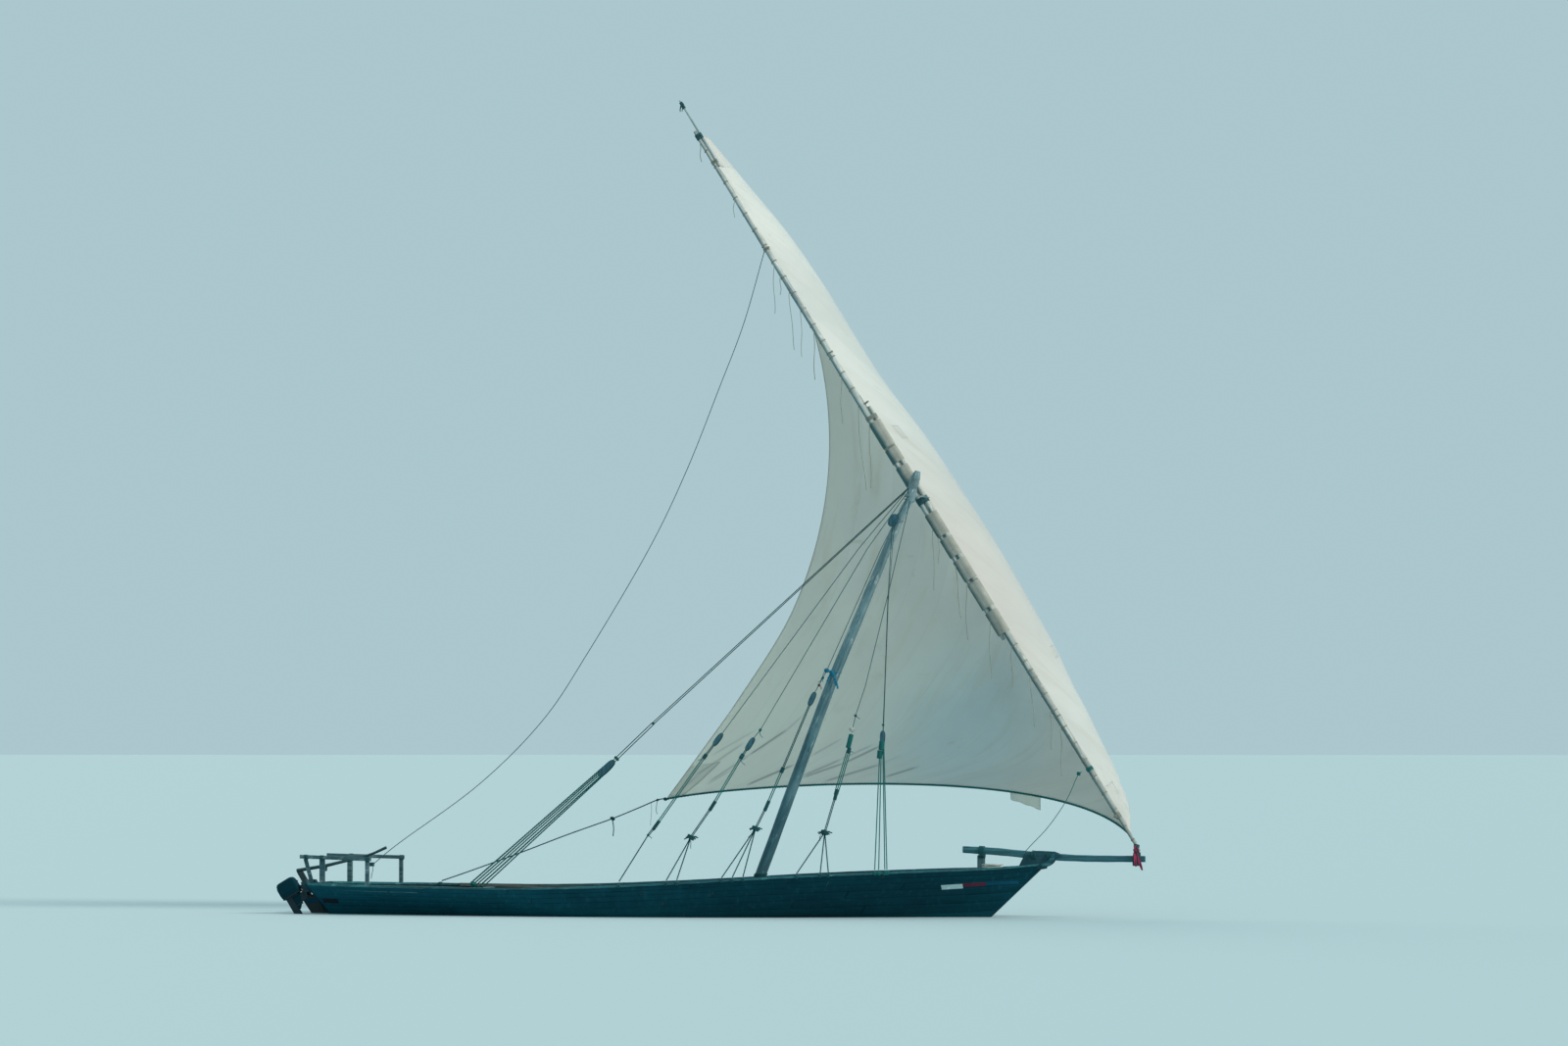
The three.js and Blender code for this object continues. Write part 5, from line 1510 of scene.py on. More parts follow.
def make_shrouds(looks):
    for name, data in SHROUD_LINES.items():
        ropes = {rope: [] for rope in ROPES}
        dark, green, grey = ropes["dark"], ropes["green"], ropes["grey"]
        head = mast_at(data["top"])
        radius = mast_radius(data["top"])
        start = head + unit(np.asarray(data["line"][0]) - head) * (radius + 0.012)
        upper, split, lower = (arr(*data[key]) for key in ("upper", "split", "lower"))
        along = unit(arr(*data["line"][-1]) - lower)
        grey.append(laid([start, *data["line"], upper + along * 0.19], SHROUD_LINE_R, smooth=False))
        ropes["old"] += mast_wraps(head, radius + 0.002, SHROUD_HEAD_R, 2)
        if data["block"]:
            shell, strop = pulley(upper, along, (1, 0, 0.2), *SHROUD_BLOCK)
            grey += strop
        else:
            green += seizing(upper + along * 0.19, upper - along * 0.20, 0.038, 0.014)
        dark += seizing(lower + along * 0.15, lower - along * 0.15, 0.028, 0.011)
        dark += seizing(split + along * 0.09, split - along * 0.07, 0.032, 0.012)
        dark += side_by_side(upper, split, 2, 0.034, SHROUD_UPPER_R)
        green += side_by_side(split, lower, data["parts"], 0.046, SHROUD_MIDDLE_R)
        gather = arr(*data["knots"][-1][:3])
        dark += side_by_side(lower, gather, 2, 0.036, SHROUD_LOWER_R)
        for foot in data["feet"]:
            dark.append(laid([gather, foot], SHROUD_FOOT_R, smooth=False))
            dark += rail_turns(foot)
        if len(data["feet"]) > 1:
            dark += burst(gather, 0.13, 0.017, 9)
            dark += seizing(gather + along * 0.06, gather - along * 0.07, 0.075, 0.016)
        for x, y, z, size, rope in data["knots"]:
            ropes[rope] += knot((x, y, z), size, 0.013, 5)
            ropes[rope].append(tail((x - size * 0.4, y - 0.02, z), size * rng.uniform(1.6, 3.0), 0.009, 0.1,
                                    0.10 * rng.choice((-1, 1))))
        replaces = (name,)
        for rope, parts in ropes.items():
            if parts:
                rope_piece(f"{name}_{rope}", parts, looks[f"rope_{rope}"], replaces=replaces)
                replaces = ()
        if data["block"]:
            piece(f"{name}_blocks", shell, looks["block_wood"], slot="brown_wood")


RAIL_TURN_R, RAIL_TURN_PITCH, RAIL_TURN_OFF = 0.0115, 0.024, 0.012


def rail_turns(foot):
    """Turns of rope round the cap rail where a line is made fast."""
    x = foot[0]
    top = hull_point(share_at(x), 1)
    side = -1 if foot[1] < 0 else 1
    out, inner = top[1] + RAIL_OUT + RAIL_TURN_OFF, top[1] - RAIL_IN - RAIL_TURN_OFF
    low, high = top[2] - RAIL_TURN_OFF, top[2] + RAIL_THICK + RAIL_TURN_OFF
    line = round_rectangle([(out, low), (out, high), (inner, high), (inner, low)])
    return [rope_ring([(x + k * RAIL_TURN_PITCH, side * y, z) for y, z in line], RAIL_TURN_R)
            for k in (-1, 0, 1)]


def make_backstay(looks):
    head = mast_at(11.28)
    start = head - arr(0.09, 0, 0.0)
    block = arr(-0.772, 0, 4.922)
    eye = arr(-0.60, 0, 5.07)
    centre = arr(-1.87, 0, 3.88)
    foot = arr(-5.53, 0, 0.745)
    along = unit(block - centre)
    side = unit(np.cross(along, arr(0, 1, 0)))
    dark = [laid([start + arr(0, 0, 0.012), eye + arr(0, 0, 0.032)], 0.015, smooth=False),
            laid([start - arr(0, 0, 0.022), eye - arr(0, 0, 0.032)], 0.015, smooth=False)]
    old = wrapped([(0.012, 0, 0.128)], (1, 0, 0), (0, 0.72, 0), head, 0.011, 2, MAST_ALONG)
    shell, strop = pulley(centre, along, (0.6, 0, -0.8), 0.56, 0.16, 0.14)
    dark += strop
    dark += side_by_side(eye, centre + along * 0.30, 2, 0.062, 0.016)
    dark += seizing(centre + along * 0.42, centre + along * 0.34, 0.05, 0.014)
    dark += knot(eye, 0.05, 0.012, 4)
    # shift at the block, shift at the foot, radius
    falls = ((0.085, 0.10, 0.026), (0.045, 0.03, 0.024), (0.0, -0.04, 0.022), (-0.05, -0.12, 0.026),
             (-0.08, -0.20, 0.022))
    green = [laid([centre + side * at_block, foot + side * at_foot], radius, smooth=False)
             for at_block, at_foot, radius in falls]
    # Turns round the hold's aft beam
    beam_low, beam_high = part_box("hold_beam_aft")
    aft, fore, low = beam_low.x - 0.015, beam_high.x + 0.015, beam_low.z - 0.015
    high = sheer_at(foot[0]) - 0.02 + 0.015
    line = round_rectangle([(aft, low), (fore, low), (fore, high), (aft, high)], 0.1)
    green += [rope_ring([(x, 0.03 * k, z) for x, z in line], 0.014) for k in range(-3, 4)]
    green += knot((foot[0], 0, 0.80), 0.10, 0.014, 5)
    rope_piece("backstay_pendant", dark, looks["rope_dark"], replaces=("backstay",))
    rope_piece("backstay_head_turns", old, looks["rope_old"])
    rope_piece("backstay_tackle", green, looks["rope_green"])
    piece("backstay_block", shell, looks["block_wood"], slot="brown_wood")


# The lower tackle's parts: top, foot
HALYARD_PARTS = (
    ((5.76, -1.22, 4.26), (5.742, -1.80, 1.26)), ((5.80, -1.22, 4.26), (5.845, -1.79, 1.26)),
    ((5.86, -1.16, 4.55), (6.053, -1.745, 1.27)), ((5.83, -1.15, 4.62), (6.00, -1.755, 1.27)),
)


def make_halyard(looks):
    hang_z = 10.38
    hang = mast_at(hang_z)
    centre = hang + arr(-0.115, -0.155, 0.02)
    shell, strop = pulley(centre, (0.62, 0, 1), (1, 0, -0.62), 0.31, 0.19, 0.12)
    strop.append(laid([hang + arr(0.04, -0.08, 0.22), centre + arr(0.06, 0.02, 0.12)], 0.018, smooth=False))
    rope_piece("halyard_strop", strop, looks["block_wood"], replaces=("halyard_block",))
    rope_piece("halyard_head_turns", mast_wraps(hang, mast_radius(hang_z), 0.011, 2), looks["rope_old"])
    piece("halyard_head_block", shell, looks["block_wood"], slot="brown_wood")

    lower = arr(5.823, -1.136, 4.70)
    falls = [laid([centre + arr(-0.02, -0.02, -0.12), (5.840, -0.496, 8.273), (5.834, -0.894, 6.032), lower],
                  0.0115, smooth=False),
             laid([centre + arr(0.03, -0.01, -0.12), (5.855, -0.50, 8.27), lower + arr(0.02, 0, 0.05)], 0.008,
                  smooth=False)]
    shell, strop = pulley(lower, (0, 0.2, 1), (1, 0, 0), 0.30, 0.10, 0.09)
    green = []
    for top, foot in HALYARD_PARTS:
        green.append(laid([top, foot], 0.018, smooth=False))
        green += rail_turns(foot)
    green += knot((5.822, -1.06, 5.02), 0.05, 0.011, 4)
    green += seizing((5.815, -1.16, 4.60), (5.80, -1.20, 4.36), 0.05, 0.014)
    green += knot((5.80, -1.205, 4.28), 0.06, 0.011, 4)
    green += seizing((5.765, -1.19, 4.36), (5.75, -1.215, 4.14), 0.045, 0.013)
    rope_piece("halyard_fall", falls + strop, looks["rope_dark"], replaces=("halyard_tackle",))
    rope_piece("halyard_lower_tackle", green, looks["rope_green"])
    piece("halyard_lower_block", shell, looks["block_wood"], slot="brown_wood")


VANG = (
    (-7.09, -1.62, 1.93), (-4.99, -1.42, 3.46), (-3.32, -1.205, 5.14), (-2.13, -0.97, 6.96),
    (-0.57, -0.62, 9.68), (0.39, -0.36, 11.76), (1.22, -0.07, 13.98), (1.83, 0.14, 15.68),
)


def make_vang(looks):
    """From the peak down to the leaning post on the starboard quarter."""
    post_x, post_half = -7.99, 0.048
    post_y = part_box("stern_rail_starboard")[1].y - post_half
    top = yard_at(17.7, -YARD_OVERLAP)
    parts = [laid([(post_x + 0.03, post_y, 1.33), *VANG, top - YARD_AHEAD * 0.06], 0.0125)]
    reach = post_half + 0.01
    aft, fore, out, inner = post_x - reach, post_x + reach, post_y - reach, post_y + reach
    line = round_rectangle([(aft, out), (fore, out), (fore, inner), (aft, inner)])
    parts += [rope_ring([(x, y, 1.29 + k * 0.021) for x, y in line], 0.010) for k in range(5)]
    parts.append(tail((post_x + 0.05, post_y - 0.06, 1.30), 0.34, 0.009, 0.08))
    rope_piece("peak_vang_rope", parts, looks["rope_grey"], replaces=("peak_vang",))


def make_sheet_line(looks, cloth):
    """From the clew to the port quarter."""
    clew = cloth.at(0.0, 1.0)
    route = [clew + arr(0.05, 0, 0.02), (-1.456, 4.15, 3.007), (-1.918, 3.9, 2.795), (-2.537, 3.4, 2.506),
             (-3.677, 2.75, 2.06), (-4.873, 2.40, 1.585), (-6.177, 2.12, 1.10), (-6.95, 1.99, 0.83)]
    parts = [laid(route, 0.020)]
    parts += knot(clew + arr(-0.03, 0, 0), 0.07, 0.014, 5)
    parts += knot(route[1], 0.05, 0.012, 4)
    parts += knot(route[3], 0.09, 0.014, 5)
    parts.append(laid([(-2.537, 3.4, 2.47), (-2.50, 3.38, 2.25), (-2.52, 3.4, 2.03)], 0.017))
    parts.append(tail((-1.47, 4.14, 2.98), 0.36, 0.008, 0.08))
    parts.append(tail((-1.62, 4.1, 2.93), 0.62, 0.005, 0.05))
    made = rope_piece("sheet_line", parts, looks["rope_dark"], body=None)
    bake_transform(made)
    rope_piece("sheet_turns", rail_turns(route[-1]), looks["rope_dark"])


# The strips of the red cloth: start, lean, length, width
RED_STRIPS = (
    ((12.30, -0.125, 1.80), (0.04, -0.03), 0.46, 0.095), ((12.36, -0.12, 1.70), (0.14, -0.02), 0.46, 0.085),
    ((12.29, -0.12, 1.88), (0.12, 0.02), 0.18, 0.10),
)


def make_tack(looks):
    """The lashing that holds the yard's foot to the bowsprit."""
    low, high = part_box("tack_strop")
    x = (low.x + high.x) / 2
    parts = []
    turn = round_turn(20)
    for k in range(9):
        z = 1.60 + k * 0.036 + 0.02 * np.cos(turn + k)
        parts.append(rope_ring(np.stack([x + 0.066 * np.cos(turn), 0.082 * np.sin(turn), z], 1), 0.014))
    turn = round_turn(22)
    for k in range(7):
        along = x + (k - 3) * 0.026 + 0.01 * np.cos(turn)
        parts.append(rope_ring(np.stack([along, 0.098 * np.sin(turn), 1.53 + 0.17 * np.cos(turn)], 1), 0.013))
    parts += knot((x, -0.10, 1.72), 0.06, 0.013, 4)
    rope_piece("tack_lashing", parts, looks["rope_dark"], replaces=("tack_strop",))


def make_red_cloth(looks):
    """A torn cloth tied on the lashing."""
    strips = []
    flat_area = 0.0
    for k, (start, lean, length, width) in enumerate(RED_STRIPS):
        rows = []
        for v in np.linspace(0, 1, 12):
            middle = arr(*start) + arr(lean[0] * v, lean[1] * v + 0.02 * math.sin(7 * v + k), -length * v)
            narrow = width * (0.45 + 0.55 * math.sin(min(1, v * 1.6) * math.pi / 2)) * (1 - 0.45 * v ** 3)
            turn = 0.7 * math.sin(3 * v + k)
            side = arr(math.cos(turn), math.sin(turn), 0.1)
            rows.append([middle + side * narrow * (u - 0.5) + arr(0, 0.012 * math.sin(u * 9 + v * 6), 0)
                         for u in np.linspace(0, 1, 7)])
        rows = np.array(rows)
        flat_area += cloth_area(rows)
        strips.append(sheet_of(rows, grid_normals(rows) * 0.0015))
    cloth = rope_piece("red_cloth", strips, looks["red_cloth"], sharp=180)
    print("red cloth", round(flat_area, 4))
    rope_piece("red_cloth_knot", knot((12.31, -0.115, 1.76), 0.055, 0.016, 4), looks["red_cloth"])


PARREL_TURNS, PARREL_LOW_Z, PARREL_PITCH = 5, 10.98, 0.026


def make_parrel(looks):
    """The turns that hold the yard to the masthead."""
    parts = []
    for k in range(PARREL_TURNS):
        z = PARREL_LOW_Z + k * PARREL_PITCH
        mast_centre = mast_at(z)
        circles = [(mast_centre[0], 0.0, mast_radius(z))]
        for name in ("yard_lower", "yard_upper"):
            ahead = SPARS[name][1]
            x = yard_at(z + ahead * -YARD_AHEAD[2], ahead)[0]
            y = yard_at(z)[1]
            circles += [(x, y, spar_radius(name, z)), (x + 0.035, y, spar_radius(name, z))]
        line = loop_round(circles, (1, 0, 0), (0, 1, 0), (0, 0, z), 0.013)
        line[:, 2] += 0.04 * np.sin((line[:, 0] - mast_centre[0]) * 4 + k)
        parts.append(rope_ring(line, 0.010))
    rope_piece("parrel_turns", parts, looks["rope_old"], replaces=("parrel",))


def make_bow_line(looks):
    route = [(10.893, 0.0, 3.80), (10.80, -0.12, 3.68), (10.502, -0.13, 3.039), (10.043, -0.15, 2.374),
             (9.584, -0.15, 1.888), (9.40, -0.11, 1.70)]
    parts = [laid(route, 0.012)] + knot((10.83, -0.09, 3.75), 0.085, 0.013, 5)
    rope_piece("bow_line", parts, looks["rope_green"])


def make_mast_turns(looks):
    """Blue rope round the mast, with a hanging end, and dark turns near its foot."""
    blue_z, dark_z = 6.40, 1.05
    centre = mast_at(blue_z)
    front = centre + arr(-0.07, -mast_radius(blue_z) - 0.03, 0.0)
    parts = mast_wraps(centre, mast_radius(blue_z), 0.010, 1) + knot(front, 0.10, 0.020, 6)
    for lean, length in ((0.17, 0.42), (0.12, 0.33), (-0.13, 0.28), (-0.09, 0.20)):
        ends = [front, front + arr(lean * 0.6, -0.01, -length * 0.45), front + arr(lean, -0.02, -length)]
        parts.append(laid(ends, 0.031))
    rope_piece("mast_turns", parts, looks["rope_blue"])
    rope_piece("mast_bands", mast_wraps(mast_at(dark_z), mast_radius(dark_z), 0.014, 5), looks["rope_dark"])


# Bow and stern

# place along the boat, height of the middle, half depth
SPRIT = (
    (7.75, 1.762, 0.094), (8.64, 1.710, 0.094), (9.40, 1.640, 0.094), (10.20, 1.575, 0.092),
    (10.90, 1.542, 0.086), (12.56, 1.530, 0.084),
)
CHEEK = (
    (9.25, 1.335), (9.43, 1.69), (9.73, 1.735), (10.16, 1.715), (10.40, 1.62), (10.10, 1.47), (9.98, 1.39),
    (9.95, 1.27), (9.84, 1.25), (9.62, 1.315),
)


def make_bowsprit(looks):
    section = arr((1, .72), (.9, .9), (.72, 1), (-.72, 1), (-.9, .9), (-1, .72), (-1, -.72), (-.9, -.9),
                  (-.72, -1), (.72, -1), (.9, -.9), (1, -.72))
    rings = []
    for k, share in enumerate(np.linspace(0, 1, 60)):
        x = SPRIT[0][0] + (SPRIT[-1][0] - SPRIT[0][0]) * share
        z, radius = cubic(SPRIT, x)
        wear = 1 - 0.02 - 0.02 * math.sin(k * 0.9) - 0.015 * math.sin(k * 0.37 + 1)
        if k in (0, 59):
            wear *= 0.93
        rings.append([(x, y * radius * wear, z + v * radius * wear) for y, v in section])
    piece("bowsprit_timber", [solid(rings)], looks["bowsprit"], slot="grey_wood", sharp=30,
          replaces=("bowsprit",))


def make_stem_head(looks):
    """Cheeks on each side of the bowsprit over the stem head, and a paler curved knee below each."""
    parts = []
    middle_x, middle_z = 9.78, 1.50
    for side in (-1, 1):
        parts.append(solid([[(middle_x + (x - middle_x) * grow, side * y, middle_z + (z - middle_z) * grow)
                             for x, z in CHEEK]
                            for y, grow in ((0.100, 0.975), (0.108, 1), (0.142, 1), (0.150, 0.975))]))
    knees = []
    for side in (-1, 1):
        rings = []
        for share in np.linspace(0, 1, 11):
            turn = share * math.pi / 2
            middle = arr(9.86 + 0.30 * math.sin(turn), side * 0.166, 1.36 + 0.30 * (1 - math.cos(turn)))
            out = arr(math.sin(turn + 0.5), 0, -math.cos(turn + 0.5))
            deep = 0.05 + 0.02 * math.sin(share * math.pi)
            rings.append([middle + out * deep * a + arr(0, 0.014 * b, 0)
                          for a, b in ((1, -1), (1, 1), (-1, 1), (-1, -1))])
        knees.append(solid(rings))
    piece("stem_knees", knees, looks["rail"], slot="grey_wood", sharp=30)
    piece("stem_cheeks", parts, looks["stem_cheek"], slot="grey_wood", sharp=30)


def make_bowsprit_lashings(looks):
    turns = []
    for x in (9.60, 9.635, 9.67, 9.705, 10.02, 10.05, 10.08):
        z, radius = cubic(SPRIT, x)
        below = 0.17 if x < 9.9 else 0.09
        line = [(x + 0.01 * math.cos(a), 0.192 * math.cos(a),
                 z + math.sin(a) * (radius + 0.02 if math.sin(a) > 0 else below)) for a in round_turn(22)]
        turns.append(rope_ring(line, 0.012))
    for k in range(6):
        x = 8.19 + k * 0.025
        z, radius = cubic(SPRIT, x)
        line = [(x, 0.13 * math.cos(a), z + (radius + 0.018) * math.sin(a) - (0.10 if math.sin(a) < 0 else 0))
                for a in round_turn(20)]
        turns.append(rope_ring(line, 0.012))
    rope_piece("bowsprit_lashings", turns, looks["rope_dark"])


def make_coil(looks):
    """A coil of mooring rope on the foredeck, beside the bitt."""
    coil = []
    centre = arr(8.58, -0.30, deck_height(8.58, -0.3, DECK_DROP["fore"]) + 0.02)
    turn = round_turn(34)
    for k in range(9):
        radius = 0.24 - 0.028 * (k % 4) + rng.uniform(-0.01, 0.01)
        line = centre + np.stack([radius * 1.15 * np.cos(turn), radius * 0.75 * np.sin(turn),
                                  0.032 * (k // 2) + 0.008 * np.sin(3 * turn + k)], 1)
        coil.append(tube(line, 0.017, 8, closed=True))
    rope_piece("mooring_coil", coil, looks["rope_pale"])


# The rudder's straps: height, aft end
STRAPS = ((-0.20, -9.98), (0.47, -10.28))


def make_stern(looks):
    """Straps and a painted band on the rudder, and the tiller's lashing."""
    straps = []
    turn = round_turn(10)
    for z, aft in STRAPS:
        for low, high in ((-0.050, -0.0455), (0.0455, 0.050)):
            straps.append(box((aft, low, z - 0.022), (aft + 0.33, high, z + 0.022)))
    for z, aft in STRAPS:
        for x in (aft + 0.04, aft + 0.16, aft + 0.28):
            for side in (-1, 1):
                rings = [np.stack([x + r * np.cos(turn), np.full(10, side * y), z + r * np.sin(turn)], 1)
                         for y, r in ((0.048, 0.014), (0.056, 0.013), (0.060, 0.007))]
                straps.append(solid(rings))
    piece("rudder_straps", straps, looks["iron"], body="rudder", slot="iron")
    bands = [box((-10.155, low, 0.275), (-9.855, high, 0.395))
             for low, high in ((-0.0475, -0.0452), (0.0452, 0.0475))]
    piece("rudder_band_blue", bands, looks["blue"], body="rudder", slot="black_hull")
    lashing = []
    for k in range(6):
        x = -9.735 + k * 0.026
        z = 1.247 + (x + 9.62) * 0.155
        line = [(x, 0.062 * math.cos(a), z - 0.01 + 0.062 * math.sin(a) - (0.05 if math.sin(a) < 0 else 0))
                for a in round_turn(16)]
        lashing.append(rope_ring(line, 0.011))
    rope_piece("tiller_lashing", lashing, looks["rope_dark"], body="rudder")


MOTOR_PLACE = arr(-10.12, -0.78, 0.5)
MOTOR_UP = unit(arr(-RAKE, 0, 1))
MOTOR_AHEAD = arr(MOTOR_UP[2], 0, -MOTOR_UP[0])
ACROSS = arr(0, 1, 0)
# height, back, front, half width
COWL = (
    (0.0985, -0.425, 0.100, 0.145), (0.112, -0.432, 0.108, 0.152), (0.165, -0.448, 0.120, 0.162),
    (0.176, -0.449, 0.121, 0.163), (0.180, -0.440, 0.112, 0.155), (0.190, -0.440, 0.112, 0.155),
    (0.194, -0.452, 0.122, 0.164), (0.300, -0.450, 0.120, 0.164), (0.420, -0.440, 0.110, 0.159),
    (0.480, -0.425, 0.093, 0.148), (0.520, -0.395, 0.064, 0.128), (0.537, -0.345, 0.020, 0.098),
    (0.540, -0.290, -0.030, 0.060),
)
HOUSING = (
    (-10.31, 0.52), (-10.09, 0.58), (-10.065, 0.40), (-10.055, 0.24), (-10.075, 0.13), (-10.19, 0.10),
    (-10.27, 0.24),
)


def motor_point(x, y, z):
    """A point of the motor from its own axes: x ahead and square to the rake, z up the rake."""
    return MOTOR_PLACE + MOTOR_AHEAD * x + ACROSS * y + MOTOR_UP * z


def motor_ring(z, back, front, half):
    c, s = squarish(round_turn(28), 2 / 6.5)
    return [motor_point((front + back) / 2 + (front - back) / 2 * u, half * v, z) for u, v in zip(c, s)]


def motor_piece(name, parts, looks, slot="motor_plastic", **more):
    return piece(name, parts, looks[slot], body="motor", slot=slot, **more)


def make_motor(looks):
    motor_piece("motor_cowl_shell", [solid([motor_ring(*row) for row in COWL])], looks, sharp=40,
                replaces=("motor_cowl",))
    # Air inlets, catch and starter grip: place, half sizes, cut
    fittings = [((-0.452, 0, 0.30 + 0.035 * k), (0.09, 0.008, 0.008), 0.003) for k in range(4)]
    fittings += [((0.125, 0, 0.19), (0.035, 0.014, 0.03), 0.005),
                 ((0.128, 0.03, 0.36), (0.045, 0.016, 0.014), 0.006)]
    axes = (ACROSS, MOTOR_AHEAD, MOTOR_UP)
    made = [chamfered(motor_point(*place), half, axes, cut) for place, half, cut in fittings]
    motor_piece("motor_fittings", made, looks, "motor_metal")
    # The housing between the cowl and the leg
    middle = arr(-10.17, 0, 0.33)
    rings = [[middle + (arr(x, 0, z) - middle) * grow + arr(0, MOTOR_PLACE[1] + side, 0) for x, z in HOUSING]
             for side, grow in ((-0.040, 0.80), (-0.028, 0.97), (0.028, 0.97), (0.040, 0.80))]
    motor_piece("motor_housing", [solid(rings)], looks, sharp=30)
    clamp = []
    for side in (-0.07, 0.07):
        start, end = motor_point(0.09, side, 0.02), motor_point(0.17, side, 0.02)
        bar = ACROSS * 0.045
        clamp.append(tube(resampled([start, end], 0.02), 0.009, 8))
        clamp.append(tube(resampled([start - bar, start + bar], 0.02), 0.006, 8))
    piece("motor_clamp_screws", clamp, looks["iron"], slot="iron")


def make_rail_lashings(looks):
    """Rope turns where the stern rails' beams sit on their posts."""
    parts = []
    for side in (1, -1):
        for x, y in ((-9.80, 1.26), (-9.33, 1.385), (-7.99, 1.655))[0 if side < 0 else 1:]:
            z = 1.52 - 0.0291 * (x + 9.96)
            for k in range(4):
                line = []
                for a in round_turn(14):
                    c, s = math.cos(a), math.sin(a)
                    grow = 0.062 / max(abs(c), abs(s)) ** 0.75
                    line.append((x + 0.045 - k * 0.026, side * y + grow * c, z + grow * s))
                parts.append(rope_ring(line, 0.009))
    rope_piece("stern_lashings", parts, looks["rope_dark"])


SAME = (1.0, 1.0, 1.0)
GREY = ((0.025, 0.070, 0.082), (0.085, 0.19, 0.215), (0.22, 0.33, 0.34))
BROWN = ((0.018, 0.028, 0.028), (0.065, 0.082, 0.076), (0.16, 0.17, 0.15))
HULL = ((0.0006, 0.036, 0.053), (0.0012, 0.052, 0.072), (0.02, 0.085, 0.10))
# For each rope its colour, the paler and the darker one
ROPE_COLOURS = {
    "dark": ((0.0, 0.070, 0.080), (0.008, 0.120, 0.130), (0.0, 0.022, 0.028)),
    "green": ((0.0, 0.130, 0.122), (0.004, 0.205, 0.19), (0.0, 0.042, 0.042)),
    "blue": ((0.0, 0.16, 0.27), (0.008, 0.26, 0.39), (0.0, 0.055, 0.11)),
    "old": ((0.16, 0.25, 0.27), (0.32, 0.40, 0.41), (0.05, 0.10, 0.11)),
    "grey": ((0.014, 0.085, 0.100), (0.045, 0.15, 0.165), (0.004, 0.030, 0.036)),
    "tan": ((0.22, 0.245, 0.215), (0.40, 0.40, 0.335), (0.08, 0.095, 0.085)),
    "pale": ((0.48, 0.52, 0.47), (0.62, 0.64, 0.58), (0.20, 0.24, 0.22)),
    "red": ((0.085, 0.03, 0.05), (0.14, 0.06, 0.07), (0.03, 0.01, 0.015)),
}
# For each paint its colour, the worn one and the wood under it
PAINTS = {
    "white": ((0.42, 0.58, 0.60), (0.57, 0.72, 0.73), (0.12, 0.18, 0.18)),
    "red": ((0.10, 0.016, 0.040), (0.14, 0.028, 0.052), (0.04, 0.04, 0.05)),
    "dark_red": ((0.010, 0.018, 0.028), (0.016, 0.022, 0.032), (0.01, 0.03, 0.035)),
    "blue": ((0.002, 0.060, 0.105), (0.006, 0.080, 0.130), (0.01, 0.05, 0.075)),
}
# For each canvas its light, middle, stain and seam colours; the seam colour, dimmed, is also painted as shade
# along the folds
CANVASES = {
    "canvas": ("sail_canvas", (0.875, 0.86, 0.81), (0.765, 0.765, 0.73), (0.66, 0.575, 0.45),
               (0.55, 0.59, 0.56)),
    "canvas_patch": ("patch_canvas", (0.84, 0.83, 0.79), (0.74, 0.75, 0.71), (0.62, 0.55, 0.45),
                     (0.54, 0.58, 0.55)),
    "canvas_flap": ("flap_canvas", (0.84, 0.84, 0.79), (0.74, 0.76, 0.72), (0.60, 0.56, 0.46),
                    (0.50, 0.54, 0.52)),
}
# For each timber its name, dark, middle and light colours, and what else is its own
TIMBERS = {
    "rail": ("rail_wood", (0.001, 0.045, 0.060), (0.006, 0.100, 0.128), (0.025, 0.20, 0.225),
             {"wear": (0.07, 0.26, 0.28), "tones": ((1, 0, 0), -8.8, -6.8, (3.4, 1.9, 1.7), SAME)}),
    "deck": ("deck_wood", *GREY, {"wear": (0.36, 0.40, 0.37)}),
    "grey_wood": ("grey_timber", *GREY, {"along": (0.2, 0, 1)}),
    "beam_wood": ("beam_timber", *GREY, {"along": (0, 1, 0)}),
    "stern_wood": ("stern_timber", (0.010, 0.05, 0.062), (0.045, 0.13, 0.155), (0.19, 0.29, 0.30),
                   {"blotch": 0.6, "wear": (0.26, 0.35, 0.35)}),
    "pad_wood": ("pad_timber", (0.002, 0.03, 0.04), (0.008, 0.06, 0.075), (0.03, 0.10, 0.12), {}),
    "stem_cheek": ("stem_cheek_timber", (0.001, 0.035, 0.05), (0.006, 0.075, 0.10), (0.04, 0.14, 0.165), {}),
    "bowsprit": ("bowsprit_timber_look", (0.008, 0.07, 0.09), (0.030, 0.165, 0.205), (0.11, 0.28, 0.31),
                 {"along": (1, 0, -0.03),
                  "tones": ((0, 0, 1), 1.46, 1.64, (0.55, 0.75, 0.8), (1.1, 1.05, 1.0))}),
    "tiller": ("tiller_timber", (0.004, 0.035, 0.042), (0.018, 0.080, 0.095), (0.07, 0.15, 0.16),
               {"along": (1, 0, 0.2)}),
    "mast": ("mast_timber", (0.05, 0.11, 0.13), (0.15, 0.27, 0.30), (0.31, 0.42, 0.44),
             {"along": (0.38, 0, 0.925), "blotch": 0.5, "wear": (0.46, 0.54, 0.53),
              "tones": ((0, 0, 1), 2.8, 10.5, (0.32, 0.60, 0.67), (1.38, 1.24, 1.20))}),
    "inside": ("inside_timber", *BROWN, {}),
    "inside_up": ("rib_timber", *BROWN, {"along": (0, 0, 1)}),
    "rudder": ("rudder_timber", (0.006, 0.022, 0.028), (0.020, 0.048, 0.058), (0.06, 0.09, 0.10),
               {"along": (-0.51, 0, 0.86),
                "tones": ((0, 0, 1), -0.1, 0.25, (1.3, 0.95, 0.95), (0.8, 1.0, 1.0))}),
    "block_wood": ("block_timber", (0.006, 0.060, 0.090), (0.028, 0.130, 0.175), (0.11, 0.23, 0.27),
                   {"along": (0, 0, 1), "relief": 0.002}),
}


